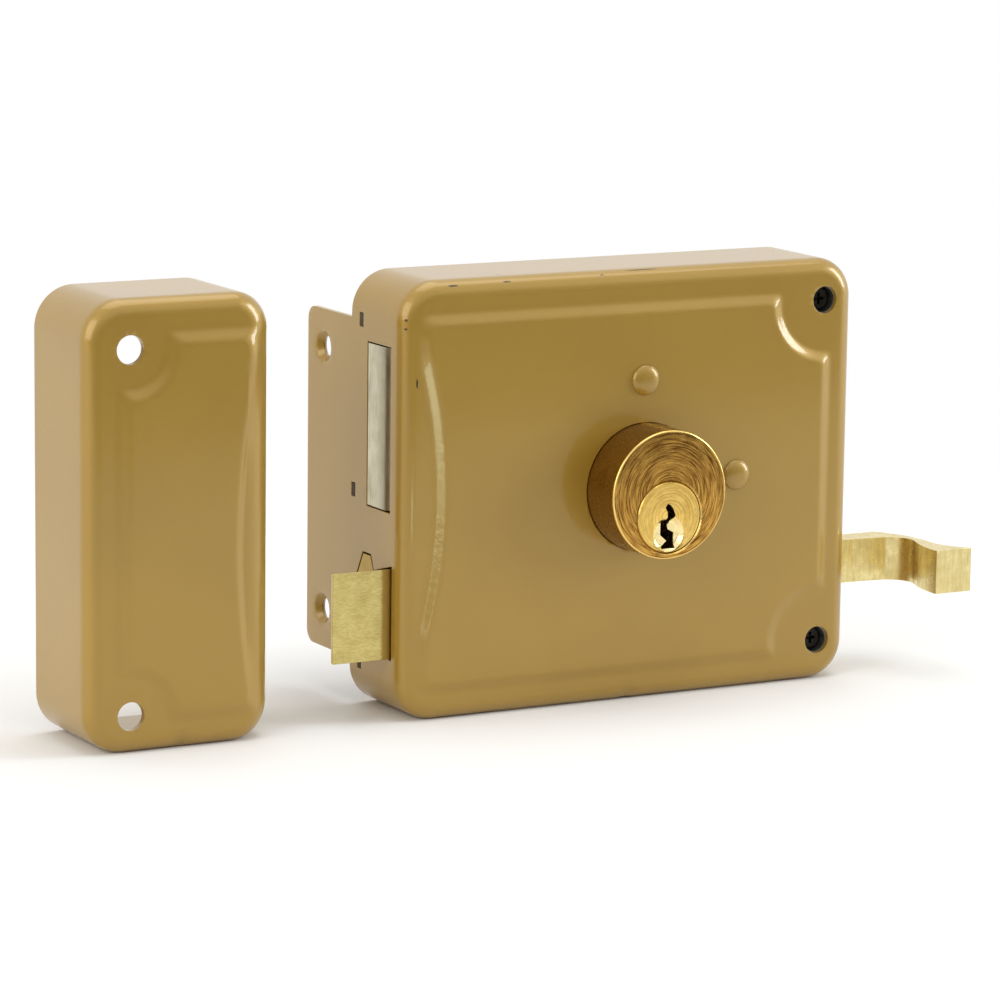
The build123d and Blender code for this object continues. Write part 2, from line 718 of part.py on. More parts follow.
# Leaf spring that drops into the deadbolt plate's notches, and the block that holds it
leaf_z = bar_top + leaf_height
detent_block_z = leaf_z + leaf_thickness / 2 + detent_block_height / 2
with BuildPart() as detent_spring:
    with BuildSketch(face_plane(deadbolt_plate_y + plate_thickness)):
        with BuildLine():
            Polyline(
                (forend_x + bar_end - leaf_end_inset, leaf_z),
                (crank_x + leaf_bend, leaf_z),
                (crank_x, bar_top + leaf_thickness / 2 + fit_gap),
                (crank_x - leaf_tip_length, bar_top + leaf_tip_rise),
            )
        trace(line_width=leaf_thickness)
    extrude(amount=plate_thickness)
save(detent_spring.part, "detent_spring")

with BuildPart() as detent_block:
    with BuildSketch(face_plane(plate_y)):
        with Locations((forend_x + bar_end - detent_block_inset, detent_block_z)):
            Rectangle(detent_block_width, detent_block_height)
    extrude(amount=plate_y - deadbolt_plate_y)
save(detent_block.part, "detent_block")

# Latch bolt: head with its bevel, body with the guide rib, slotted for its tail
latch_tip_x = forend_x - latch_throw
tail_rivet_x = forend_x + latch_body_length - tail_rivet_inset
tail_rivet_places = [(tail_rivet_x, z) for z in (tail_bottom + tail_rivet_edge, tail_top - tail_rivet_edge)]
with BuildPart() as latch_bolt:
    with BuildSketch(side_plane(latch_tip_x)):
        with BuildLine():
            Polyline(*latch_outline(False), close=True)
        make_face()
    extrude(amount=latch_throw)
    with BuildSketch(Plane.XY):
        with BuildLine():
            Polyline(
                (latch_tip_x, latch_y + latch_tip_land),
                (forend_x, latch_rear_y),
                (latch_tip_x, latch_rear_y),
                close=True,
            )
        make_face()
    extrude(amount=case_height, mode=Mode.SUBTRACT)
    with BuildSketch(side_plane(forend_x)):
        with BuildLine():
            Polyline(*latch_outline(True), close=True)
        make_face()
    extrude(amount=latch_body_length)
    with BuildSketch(face_plane(tail_y + tail_thickness)):
        with Locations((forend_x + latch_body_length, tail_middle_z)):
            Rectangle(2 * tail_depth, tail_top - tail_bottom)
    extrude(amount=tail_thickness, mode=Mode.SUBTRACT)
    with BuildSketch(face_plane(latch_rear_y)):
        with Locations(tail_rivet_places):
            Circle(rivet_pin_radius)
    extrude(amount=latch_rear - latch_front, mode=Mode.SUBTRACT)
save(latch_bolt.part, "latch_bolt")

pull_rivet_places = [(pull_inner_x + x, pull_bottom + pull_height / 2) for x in pull_rivet_offsets]
with BuildPart() as latch_tail:
    with BuildSketch(face_plane(tail_y + tail_thickness)):
        with Locations(((forend_x + latch_body_length - tail_depth + tail_end_x) / 2, tail_middle_z)):
            Rectangle(tail_end_x - forend_x - latch_body_length + tail_depth, tail_top - tail_bottom)
        with Locations(tail_rivet_places + pull_rivet_places):
            Circle(rivet_pin_radius, mode=Mode.SUBTRACT)
    extrude(amount=tail_thickness)
save(latch_tail.part, "latch_tail")

with BuildPart() as tail_rivets:
    with BuildSketch(face_plane(latch_rear_y)):
        with Locations(tail_rivet_places):
            Circle(rivet_pin_radius)
    extrude(amount=latch_rear - latch_front)
save(tail_rivets.part, "tail_rivets")

# Pull: a hooked section that leaves the case straight, turns forwards and spreads into a foot
bar = pull_bar_thickness
with BuildPart() as pull_handle:
    with BuildSketch(Plane(origin=(pull_x, pull_y, pull_bottom))):
        with BuildLine():
            Line((pull_inner_x - pull_x, 0), (1.5, 0))
            Line((1.5, 0), (9.5, -0.9))
            ThreePointArc((9.5, -0.9), (12.7, -3.2), (13.5, -7.3))
            ThreePointArc((13.5, -7.3), (11.7, -12.8), (11.0, -pull_leg_reach))
            Line((11.0, -pull_leg_reach), (pull_leg_reach, -pull_leg_reach))
            ThreePointArc((pull_leg_reach, -pull_leg_reach), (16.9, -15.8), (15.9, -9.0))
            ThreePointArc((15.9, -9.0), (14.8, -0.8), (11.0, bar + 0.2))
            Line((11.0, bar + 0.2), (1.5, bar))
            Line((1.5, bar), (pull_inner_x - pull_x, bar))
            Line((pull_inner_x - pull_x, bar), (pull_inner_x - pull_x, 0))
        make_face()
    extrude(amount=pull_height)
    with BuildSketch(face_plane(pull_y + bar)):
        with Locations(pull_rivet_places):
            Circle(rivet_pin_radius)
    extrude(amount=bar, mode=Mode.SUBTRACT)
save(pull_handle.part, "pull_handle")

with BuildPart() as pull_rivets:
    with BuildSketch(face_plane(pull_y + bar)):
        with Locations(pull_rivet_places):
            Circle(rivet_pin_radius)
    extrude(amount=bar + tail_thickness)
save(pull_rivets.part, "pull_rivets")

# Bracket on the back plate: the tail runs through it and the latch spring bears on it
with BuildPart() as latch_guide:
    with BuildSketch(side_plane(forend_x + bracket_x)):
        with Locations(((front_y + bracket_front + plate_y) / 2, tail_middle_z)):
            Rectangle(plate_y - front_y - bracket_front, bracket_height)
        with Locations((tail_y + tail_thickness / 2, tail_middle_z)):
            Rectangle(
                tail_thickness + 2 * window_clearance,
                tail_top - tail_bottom + 2 * window_clearance,
                mode=Mode.SUBTRACT,
            )
    extrude(amount=bracket_thickness)
    with BuildSketch(side_plane(forend_x + bracket_x)):
        with Locations((plate_y - channel_sheet / 2, tail_middle_z)):
            Rectangle(channel_sheet, bracket_height)
    extrude(amount=bracket_foot_length)
save(latch_guide.part, "latch_guide")

spring_y = tail_y + tail_thickness + spring_radius + spring_wire_radius + spring_bolt_gap
spring_start = forend_x + latch_body_length + spring_wire_radius
spring_length = bracket_x - latch_body_length - 2 * spring_wire_radius
with BuildPart() as latch_spring:
    with BuildLine() as coil:
        Helix(
            pitch=spring_length / spring_turns,
            height=spring_length,
            radius=spring_radius,
            center=(spring_start, spring_y, tail_middle_z),
            direction=(1, 0, 0),
        )
    with BuildSketch(Plane(origin=coil.wire() @ 0, z_dir=coil.wire() % 0)):
        Circle(spring_wire_radius)
    sweep(path=coil.wire(), is_frenet=True)
save(latch_spring.part, "latch_spring")

# Keep: a drawn box with its own raised field, two screw holes and a mouth for each bolt
keep_left = forend_x + overall_left
keep_right = keep_left + keep_width
keep_middle_x = (keep_left + keep_right) / 2
keep_holes = [
    (keep_left + keep_hole_inset, keep_hole_from_bottom),
    (keep_left + keep_hole_inset, case_height - keep_hole_from_top),
]
keep_field_left = keep_left + keep_field_left_inset
keep_field_right = keep_right - keep_field_right_inset
keep_pinch_radius = pinch_circle_radius(field_height, keep_field_pinch)
with BuildPart() as keep:
    with BuildSketch(face_plane(front_y + keep_depth)):
        with Locations((keep_middle_x, middle_z)):
            RectangleRounded(keep_width, case_height, keep_corner_radius)
    extrude(amount=keep_depth)
    fillet(keep.faces().sort_by(Axis.Y)[0].edges(), keep_edge_radius)
    with BuildSketch(face_plane(front_y)) as keep_field:
        with Locations(((keep_field_left + keep_field_right) / 2, field_middle_z)):
            Rectangle(keep_field_right - keep_field_left, field_height)
        with Locations((keep_field_right - keep_field_pinch + keep_pinch_radius, field_middle_z)):
            Circle(keep_pinch_radius, mode=Mode.SUBTRACT)
        with Locations(keep_holes):
            Circle(keep_cut_radius, mode=Mode.SUBTRACT)
        fillet(keep_field.vertices(), field_corner_radius)
    extrude(amount=field_rise, taper=field_taper)
    offset(amount=-keep_sheet, openings=keep.faces().sort_by(Axis.Y)[-1])
    with BuildSketch(face_plane(field_y - sheet)):
        with Locations(keep_holes):
            Circle(keep_hole_radius)
    extrude(amount=-keep_depth, mode=Mode.SUBTRACT)
    with BuildSketch(side_plane(keep_right - keep_edge_radius)):
        with Locations((deadbolt_middle_y, deadbolt_centre_height)):
            Rectangle(deadbolt_thickness + 2 * mouth_clearance, deadbolt_height + 2 * mouth_clearance)
        with Locations(((latch_y + latch_rear_y) / 2, (latch_bottom + latch_top) / 2)):
            Rectangle(
                latch_rear - latch_front + 2 * mouth_clearance,
                latch_top - latch_bottom + 2 * mouth_clearance,
            )
    extrude(amount=2 * keep_edge_radius, mode=Mode.SUBTRACT)
save(keep.part, "keep")

print("deadbolt throw", round(deadbolt_throw, 3))

# Least gap of the latch spring to itself, measured between points more than half a turn apart
coil_count = spring_turns * spring_samples
coil_points = [coil.wire() @ (i / coil_count) for i in range(coil_count + 1)]
coil_gap = min(
    (coil_points[i] - coil_points[j]).length - 2 * spring_wire_radius
    for i in range(coil_count + 1)
    for j in range(i + spring_samples // 2 + 1, coil_count + 1)
)
print("latch spring gap to itself", round(coil_gap, 3))
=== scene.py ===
import json
import math

import bmesh
import bpy
import numpy as np
from mathutils import Matrix, Vector, geometry

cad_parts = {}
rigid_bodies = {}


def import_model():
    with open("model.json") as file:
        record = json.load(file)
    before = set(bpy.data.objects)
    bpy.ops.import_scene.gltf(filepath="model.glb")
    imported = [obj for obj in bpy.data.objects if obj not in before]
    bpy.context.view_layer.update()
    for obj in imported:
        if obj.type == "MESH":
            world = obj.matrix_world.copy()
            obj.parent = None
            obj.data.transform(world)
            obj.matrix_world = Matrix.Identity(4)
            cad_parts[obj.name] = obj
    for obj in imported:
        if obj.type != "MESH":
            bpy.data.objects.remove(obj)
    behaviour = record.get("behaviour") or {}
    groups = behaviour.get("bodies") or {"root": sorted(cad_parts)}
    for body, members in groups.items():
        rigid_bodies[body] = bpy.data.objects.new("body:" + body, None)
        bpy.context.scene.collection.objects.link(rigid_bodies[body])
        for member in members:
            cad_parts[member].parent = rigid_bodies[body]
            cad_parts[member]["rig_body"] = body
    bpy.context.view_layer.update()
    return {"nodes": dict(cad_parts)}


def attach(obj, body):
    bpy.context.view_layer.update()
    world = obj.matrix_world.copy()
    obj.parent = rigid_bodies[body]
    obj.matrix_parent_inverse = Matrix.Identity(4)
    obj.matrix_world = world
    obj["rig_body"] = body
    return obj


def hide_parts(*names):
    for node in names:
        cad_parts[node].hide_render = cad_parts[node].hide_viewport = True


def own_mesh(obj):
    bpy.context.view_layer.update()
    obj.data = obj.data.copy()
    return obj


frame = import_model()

nodes = frame["nodes"]
scene = bpy.context.scene
mm = 0.001  # sizes are written in millimetres, meshes are in metres
perMm = 1000  # a pattern of size s mm has the scale perMm / s
weld = 2e-6  # points nearer than this, in metres, become one
noiseLow, noiseHigh = 0.3, 0.7  # most of a noise lies between these
cylinderAxis = {"x": 25.25, "barrelZ": 48.5, "plugZ": 43.5}


# An sRGB hex value turned to linear
def fromHex(code):
    parts = [int(code[i:i + 2], 16) / 255 for i in (0, 2, 4)]
    return [c / 12.92 if c <= 0.04045 else ((c + 0.055) / 1.055) ** 2.4 for c in parts] + [1.0]


# Links take a node, for its first output, or one output socket
def addNode(tree, kind, settings=None, links=None):
    node = tree.nodes.new(kind)
    for key, value in (settings or {}).items():
        if isinstance(key, str) and hasattr(node, key):
            setattr(node, key, value)
        else:
            node.inputs[key].default_value = value
    for socket, source in (links or {}).items():
        tree.links.new(source.outputs[0] if hasattr(source, "outputs") else source, node.inputs[socket])
    return node


def startMaterial(name):
    material = bpy.data.materials.new(name)
    material.use_nodes = True
    tree = material.node_tree
    tree.nodes.clear()
    return material, tree, addNode(tree, "ShaderNodeTexCoord").outputs["Object"]


def ring(cx, cy, radius, count=48):
    turns = [2 * math.pi * i / count for i in range(count)]
    return [(cx + radius * math.cos(a), cy + radius * math.sin(a)) for a in turns]


def divided(points, step):
    out = []
    for (ax, ay), (bx, by) in zip(points, points[1:] + points[:1]):
        count = max(1, round(math.hypot(bx - ax, by - ay) / step))
        out += [(ax + (bx - ax) * i / count, ay + (by - ay) * i / count) for i in range(count)]
    return out


def rectangle(y0, y1, z0, z1):
    return divided([(y0, z0), (y1, z0), (y1, z1), (y0, z1)], shellMesh["windowStep"])


# The same outline, moved outwards by an amount
def grown(points, amount):
    area = sum(a[0] * b[1] - b[0] * a[1] for a, b in zip(points, points[1:] + points[:1]))
    side = 1 if area > 0 else -1
    out = []
    for i, point in enumerate(points):
        before = (Vector(point) - Vector(points[i - 1])).normalized()
        after = (Vector(points[(i + 1) % len(points)]) - Vector(point)).normalized()
        first, second = Vector((before.y, -before.x)) * side, Vector((after.y, -after.x)) * side
        out.append(tuple(Vector(point) + (first + second) / (1 + first.dot(second)) * amount))
    return out


def inside(points, loop):
    points, loop = np.asarray(points, float), np.asarray(loop, float)
    hit = np.zeros(len(points), bool)
    for a, b in zip(loop, np.roll(loop, -1, axis=0)):
        crosses = (a[1] > points[:, 1]) != (b[1] > points[:, 1])
        slope = (b[0] - a[0]) / (b[1] - a[1] if b[1] != a[1] else 1e-12)
        hit ^= crosses & (points[:, 0] < a[0] + slope * (points[:, 1] - a[1]))
    return hit


# Triangles between an outline and its holes, through extra points that keep clear of every rim
def fillRegion(outer, holes, extra=(), clear=0.25):
    loops = [outer] + holes
    rim = np.array([p for loop in loops for p in loop])
    points = rim
    extra = np.asarray(extra, float).reshape(-1, 2)
    if len(extra):
        keep = inside(extra, outer)
        for hole in holes:
            keep &= ~inside(extra, hole)
        for loop in loops:
            for a, b in zip(np.array(loop), np.roll(loop, -1, axis=0)):
                along = np.clip((extra - a) @ (b - a) / max((b - a) @ (b - a), 1e-9), 0, 1)
                keep &= np.linalg.norm(extra - a - along[:, None] * (b - a), axis=1) > clear
        points = np.vstack([rim, extra[keep]])
    edges, start = [], 0
    for loop in loops:
        edges += [(start + i, start + (i + 1) % len(loop)) for i in range(len(loop))]
        start += len(loop)
    made = geometry.delaunay_2d_cdt([Vector(p) for p in points], edges, [], 0, 1e-5)
    where = np.array([tuple(v) for v in made[0]])
    faces = np.array(made[2])
    middles = where[faces].mean(axis=1)
    good = inside(middles, outer)
    for hole in holes:
        good &= ~inside(middles, hole)
    return where, faces[good]


def addFaces(bm, points, faces):
    verts = [bm.verts.new([c * mm for c in p]) for p in points]
    for face in faces:
        bm.faces.new([verts[i] for i in face])


# A wall through the same loop of points at each place in turn
def addWall(bm, loop, places):
    rows = [[bm.verts.new([c * mm for c in place(p)]) for p in loop] for place in places]
    for upper, lower in zip(rows, rows[1:]):
        for i in range(len(loop)):
            j = (i + 1) % len(loop)
            bm.faces.new([upper[i], upper[j], lower[j], lower[i]])
    return rows


def finishPiece(bm, name, node, material, slot, sharpAngle):
    mesh = bpy.data.meshes.new(name)
    bm.to_mesh(mesh)
    bm.free()
    piece = bpy.data.objects.new(name, mesh)
    scene.collection.objects.link(piece)
    mesh.materials.append(material)
    mesh.shade_smooth()
    mesh.set_sharp_from_angle(angle=math.radians(sharpAngle))
    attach(piece, nodes[node]["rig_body"])
    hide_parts(node)
    return piece


def roundEdges(piece, width, angle):
    softened = piece.modifiers.new("softened", "BEVEL")
    softened.width = width * mm
    softened.segments = 2
    softened.angle_limit = math.radians(angle)
    shading = piece.modifiers.new("shading", "WEIGHTED_NORMAL")
    shading.keep_sharp = True


# Stoved gloss enamel with a bronze pigment on drawn steel: an even gold-beige that brightens
# where it turns to the light, a clear gloss that greys at grazing angles, a faint orange peel
# and a few chips along the front edge down to the dark steel. Pattern sizes and depths are in mm.
def makeEnamel():
    look = {
        "base": "A98630", "shade": "9E7C2A", "chipAndDentShade": "4A381A", "pigment": 0.35, "roughness": (0.37, 0.49),
        "gloss": 0.7, "glossRoughness": 0.1, "cloud": 24,
        "peel": 1.4, "peelDepth": 0.02, "peelStrength": 0.5,
        "grit": 0.22, "gritDepth": 0.006, "gritStrength": 0.6,
        # a chip starts where the distance to its middle, torn by the ragged noise, is under these
        "ragged": 0.35, "chipEdge": 1.4, "chipFloor": 1.3, "chipDepth": 0.05,
        # each chip's middle, then its half length along X, Y and Z
        "chipsAndShadedDents": [
            ((-22.3, -16.0, 95.8), (1.7, 0.4, 0.3)), ((-9.0, -11.8, 97.0), (0.8, 0.4, 0.4)),
            ((-9.0, -15.8, 96.0), (1.4, 0.35, 0.25)), ((15.0, -15.6, 96.3), (0.7, 0.35, 0.3)),
            ((25.8, -14.6, 96.8), (5.4, 0.25, 0.3)), ((-31.3, -16.7, 75.0), (0.28, 0.4, 1.3)),
            # These three marks at the left edge are dents; their dark chip colour is partly chipped paint and
            # partly painted shade in the dents
            ((-33.7, -15.6, 91.0), (0.4, 0.5, 0.35)), ((-33.6, -15.7, 88.8), (0.4, 0.5, 0.35)),
            ((-33.6, -15.7, 86.9), (0.35, 0.5, 0.3)),
        ],
    }
    material, tree, place = startMaterial("bronzeEnamel")
    cloud = addNode(tree, "ShaderNodeTexNoise", {"Scale": perMm / look["cloud"], "Detail": 3},
                    {"Vector": place})
    paint = addNode(tree, "ShaderNodeMix", {"data_type": "RGBA", 6: fromHex(look["base"]),
                                            7: fromHex(look["shade"])}, {0: cloud})
    nearest = None
    for middle, reach in look["chipsAndShadedDents"]:
        moved = addNode(tree, "ShaderNodeVectorMath", {"operation": "SUBTRACT", 1: [c * mm for c in middle]},
                        {0: place})
        scaled = addNode(tree, "ShaderNodeVectorMath", {"operation": "DIVIDE", 1: [c * mm for c in reach]},
                         {0: moved})
        away = addNode(tree, "ShaderNodeVectorMath", {"operation": "LENGTH"}, {0: scaled}).outputs["Value"]
        if nearest is None:
            nearest = away
        else:
            nearest = addNode(tree, "ShaderNodeMath", {"operation": "MINIMUM"}, {0: nearest, 1: away})
    torn = addNode(tree, "ShaderNodeTexNoise", {"Scale": perMm / look["ragged"], "Detail": 3},
                   {"Vector": place})
    reached = addNode(tree, "ShaderNodeMath", {"operation": "ADD"}, {0: nearest, 1: torn})
    chippedAndDentShade = addNode(tree, "ShaderNodeMapRange", {1: look["chipEdge"], 2: look["chipFloor"]}, {0: reached})
    colour = addNode(tree, "ShaderNodeMix", {"data_type": "RGBA", 7: fromHex(look["chipAndDentShade"])},
                     {0: chippedAndDentShade, 6: paint.outputs[2]})
    peel = addNode(tree, "ShaderNodeTexNoise", {"Scale": perMm / look["peel"], "Detail": 1},
                   {"Vector": place})
    grit = addNode(tree, "ShaderNodeTexNoise", {"Scale": perMm / look["grit"], "Detail": 1},
                   {"Vector": place})
    soft = addNode(tree, "ShaderNodeBump",
                   {"Distance": look["peelDepth"] * mm, "Strength": look["peelStrength"]},
                   {"Height": peel})
    fine = addNode(tree, "ShaderNodeBump",
                   {"Distance": look["gritDepth"] * mm, "Strength": look["gritStrength"]},
                   {"Height": grit, "Normal": soft})
    pits = addNode(tree, "ShaderNodeBump", {"Distance": look["chipDepth"] * mm, "invert": True},
                   {"Height": chippedAndDentShade, "Normal": fine})
    rough = addNode(tree, "ShaderNodeMapRange", {1: noiseLow, 2: noiseHigh, 3: look["roughness"][0],
                                                 4: look["roughness"][1]}, {0: grit})
    shader = addNode(tree, "ShaderNodeBsdfPrincipled",
                     {"Metallic": look["pigment"], "Coat Weight": look["gloss"],
                      "Coat Roughness": look["glossRoughness"]},
                     {"Base Color": colour.outputs[2], "Roughness": rough, "Normal": pits,
                      "Coat Normal": soft})
    addNode(tree, "ShaderNodeOutputMaterial", None, {"Surface": shader})
    return material


# Brass faced on a lathe: fine rings round the axis that catch the light as broken arcs, a rim and
# funnel painted paler, partly burnish and partly painted highlight, and a browner skin down the side
# that no tool has cut for long. Its noise is drawn out round the axis, by how little it changes with
# the place beside the distance.
turning = {"drawnOut": 0.06, "grain": 0.6, "darkBelow": 0.36, "brightAbove": 0.64, "relief": 0.8}


def makeTurnedBrass(name, centreZ, look):
    material, tree, place = startMaterial(name)
    middle = (cylinderAxis["x"] * mm, 0, centreZ * mm)
    around = (turning["drawnOut"], 0, turning["drawnOut"])
    moved = addNode(tree, "ShaderNodeVectorMath", {"operation": "SUBTRACT", 1: middle}, {0: place})
    flat = addNode(tree, "ShaderNodeVectorMath", {"operation": "MULTIPLY", 1: (1, 0, 1)}, {0: moved})
    radius = addNode(tree, "ShaderNodeVectorMath", {"operation": "LENGTH"}, {0: flat}).outputs["Value"]
    depth = addNode(tree, "ShaderNodeSeparateXYZ", None, {0: place}).outputs["Y"]
    across = addNode(tree, "ShaderNodeMath", {"operation": "ADD"}, {0: radius, 1: depth})
    line = addNode(tree, "ShaderNodeCombineXYZ", None, {"Y": across})
    arcs = addNode(tree, "ShaderNodeVectorMath", {"operation": "MULTIPLY_ADD", 1: around},
                   {0: moved, 2: line})
    rings = addNode(tree, "ShaderNodeTexNoise",
                    {"Scale": perMm / look["ring"], "Detail": 3, "Roughness": turning["grain"]},
                    {"Vector": arcs})
    broken = addNode(tree, "ShaderNodeTexNoise", {"Scale": perMm / look["broken"], "Detail": 3},
                     {"Vector": place})
    tint = addNode(tree, "ShaderNodeMapRange", {1: turning["darkBelow"], 2: turning["brightAbove"]},
                   {0: rings})
    # Paler on the rings' ridges and browner in their grooves, where the bump below rises and falls: painted
    # highlight and painted shade along the turning
    ringLightAndShade = addNode(tree, "ShaderNodeMix", {"data_type": "RGBA", 6: fromHex(look["dark"]),
                                           7: fromHex(look["bright"])}, {0: tint})
    finish = addNode(tree, "ShaderNodeAttribute", {"attribute_name": "finish"}).outputs["Fac"]
    # The rim colour goes where the mark is 1: a paler band that is partly burnish and partly painted
    # highlight
    burnishAndHighlight = addNode(tree, "ShaderNodeMapRange", {1: 0.0, 2: 1.0}, {0: finish})
    isSide = addNode(tree, "ShaderNodeMapRange", {1: 0.0, 2: -1.0}, {0: finish})
    rimmed = addNode(tree, "ShaderNodeMix", {"data_type": "RGBA", 7: fromHex(look["rim"])},
                     {0: burnishAndHighlight, 6: ringLightAndShade.outputs[2]})
    colour = addNode(tree, "ShaderNodeMix", {"data_type": "RGBA", 7: fromHex(look["side"])},
                     {0: isSide, 6: rimmed.outputs[2]})
    relief = addNode(tree, "ShaderNodeBump", {"Distance": look["cut"] * mm, "Strength": turning["relief"]},
                     {"Height": rings})
    rough = addNode(tree, "ShaderNodeMapRange", {1: noiseLow, 2: noiseHigh, 3: look["roughness"][0],
                                                 4: look["roughness"][1]}, {0: broken})
    shader = addNode(tree, "ShaderNodeBsdfPrincipled", {"Metallic": 1.0},
                     {"Base Color": colour.outputs[2], "Roughness": rough, "Normal": relief})
    addNode(tree, "ShaderNodeOutputMaterial", None, {"Surface": shader})
    return material


# Metal with straight tool or rolling lines: pale sawn brass, satin nickel plate, zinc-plated steel.
# The lines run along the direction whose stretch is small, and a painted shade may spread over a
# piece from one side, between two places along an axis.
lining = {"grain": 0.6, "cloudShare": 0.6, "brightBelow": 0.6, "darkAbove": 1.05, "relief": 0.7}


def makeLinedMetal(name, look):
    material, tree, place = startMaterial(name)
    stretched = addNode(tree, "ShaderNodeMapping", {"Scale": look["stretch"]}, {"Vector": place})
    lines = addNode(tree, "ShaderNodeTexNoise",
                    {"Scale": perMm / look["line"], "Detail": 3, "Roughness": lining["grain"]},
                    {"Vector": stretched})
    cloud = addNode(tree, "ShaderNodeTexNoise", {"Scale": perMm / look["cloud"], "Detail": 3},
                    {"Vector": place})
    mixed = addNode(tree, "ShaderNodeMath", {"operation": "MULTIPLY_ADD", 1: lining["cloudShare"]},
                    {0: cloud, 2: lines})
    tint = addNode(tree, "ShaderNodeMapRange", {1: lining["brightBelow"], 2: lining["darkAbove"]},
                   {0: mixed})
    colour = addNode(tree, "ShaderNodeMix", {"data_type": "RGBA", 6: fromHex(look["bright"]),
                                             7: fromHex(look["dark"])}, {0: tint})
    # Painted shade: the colour darkens across the piece between two places along an axis, torn by the lines
    if "paintedShade" in look:
        axis, unshadedAt, fullShadeAt = look["shadeFrom"]
        along = addNode(tree, "ShaderNodeSeparateXYZ", None, {0: place}).outputs[axis]
        spread = addNode(tree, "ShaderNodeMath", {"operation": "MULTIPLY_ADD", 1: look["ragged"] * mm},
                         {0: lines, 2: along})
        shadeShare = addNode(tree, "ShaderNodeMapRange", {1: unshadedAt * mm, 2: fullShadeAt * mm}, {0: spread})
        colour = addNode(tree, "ShaderNodeMix", {"data_type": "RGBA", 7: fromHex(look["paintedShade"])},
                         {0: shadeShare, 6: colour.outputs[2]})
    relief = addNode(tree, "ShaderNodeBump", {"Distance": look["cut"] * mm, "Strength": lining["relief"]},
                     {"Height": lines})
    rough = addNode(tree, "ShaderNodeMapRange", {1: noiseLow, 2: noiseHigh, 3: look["roughness"][0],
                                                 4: look["roughness"][1]}, {0: cloud})
    shader = addNode(tree, "ShaderNodeBsdfPrincipled", {"Metallic": 1.0},
                     {"Base Color": colour.outputs[2], "Roughness": rough, "Normal": relief})
    addNode(tree, "ShaderNodeOutputMaterial", None, {"Surface": shader})
    return material


# Blackened steel screws: oiled near-black with a dull sheen and uneven grain.
def makeBlackSteel():
    look = {"deep": "100E0B", "worn": "2A251E", "grain": 0.4, "depth": 0.02, "metal": 0.5, "roughness": 0.42}
    material, tree, place = startMaterial("blackenedSteel")
    grain = addNode(tree, "ShaderNodeTexNoise", {"Scale": perMm / look["grain"], "Detail": 3},
                    {"Vector": place})
    colour = addNode(tree, "ShaderNodeMix", {"data_type": "RGBA", 6: fromHex(look["deep"]),
                                             7: fromHex(look["worn"])}, {0: grain})
    relief = addNode(tree, "ShaderNodeBump", {"Distance": look["depth"] * mm}, {"Height": grain})
    shader = addNode(tree, "ShaderNodeBsdfPrincipled",
                     {"Metallic": look["metal"], "Roughness": look["roughness"]},
                     {"Base Color": colour.outputs[2], "Normal": relief})
    addNode(tree, "ShaderNodeOutputMaterial", None, {"Surface": shader})
    return material


enamel = makeEnamel()
# Barrel: coarse rings, painted gold on their ridges and brown in their grooves as painted highlight and
# painted shade, inside a rim painted bright, partly burnish and partly painted highlight
barrelBrass = makeTurnedBrass("turnedBrassBarrel", cylinderAxis["barrelZ"], {
    "bright": "DFAC54", "dark": "6E4416", "rim": "F4D27C", "side": "9E7C3E", "ring": 0.28, "cut": 0.045,
    "broken": 3.2, "roughness": (0.2, 0.36)})
# Plug: a paler, smoother gold with faint rings and a funnel painted bright, partly burnish and partly painted
# highlight
plugBrass = makeTurnedBrass("turnedBrassPlug", cylinderAxis["plugZ"], {
    "bright": "F2CE76", "dark": "D4AA52", "rim": "FBE6A8", "side": "7A5624", "ring": 0.4, "cut": 0.012,
    "broken": 1.2, "roughness": (0.14, 0.3)})
# Latch: pale greenish brass, finely lined from the mill, painted darker beside the edge plate as painted
# shade
latchBrass = makeLinedMetal("milledBrass", {
    "bright": "DCCD88", "dark": "C4AE68", "stretch": (0.25, 0.25, 1), "line": 0.3, "cloud": 4, "cut": 0.005,
    "roughness": (0.3, 0.46), "paintedShade": "AA8C48", "shadeFrom": ("X", -37.0, -36.3), "ragged": 0.4})
# Pull: paler and brighter, with broad saw lines from top to bottom
pullBrass = makeLinedMetal("sawnBrass", {
    "bright": "EDDDA0", "dark": "D6C080", "stretch": (1, 1, 0.12), "line": 0.9, "cloud": 2, "cut": 0.006,
    "roughness": (0.24, 0.4)})
# Deadbolt: warm satin grey with upright lines, painted darker towards the front as painted shade in its
# window
nickel = makeLinedMetal("satinNickelPlate", {
    "bright": "D2CAB0", "dark": "AEA488", "stretch": (1, 1, 0.06), "line": 0.4, "cloud": 5, "cut": 0.008,
    "roughness": (0.28, 0.44), "paintedShade": "8C8268", "shadeFrom": ("Y", -2.4, -7.6), "ragged": 4.0})
# Back plate: dull dark brown sheet with rolling lines along its width, darkened partly as a phosphate finish
# and partly as painted shade where its tabs show in the side slots
phosphateAndSlotShade = makeLinedMetal("phosphatedSteelSlotShade", {
    "bright": "564830", "dark": "3E3422", "stretch": (0.2, 1, 1), "line": 0.5, "cloud": 6, "cut": 0.01,
    "roughness": (0.44, 0.6)})
# Inner plates and posts: even pale grey, lined from back to front
zinc = makeLinedMetal("zincPlatedSteel", {
    "bright": "B9B9B4", "dark": "94948E", "stretch": (1, 0.05, 1), "line": 0.5, "cloud": 5, "cut": 0.01,
    "roughness": (0.34, 0.5)})
# Springs: bright drawn steel with a fine even grain
spring = makeLinedMetal("springSteel", {
    "bright": "A9A9A9", "dark": "7E7E7E", "stretch": (1, 1, 1), "line": 0.3, "cloud": 3, "cut": 0.005,
    "roughness": (0.22, 0.38)})
black = makeBlackSteel()
print("materials made")


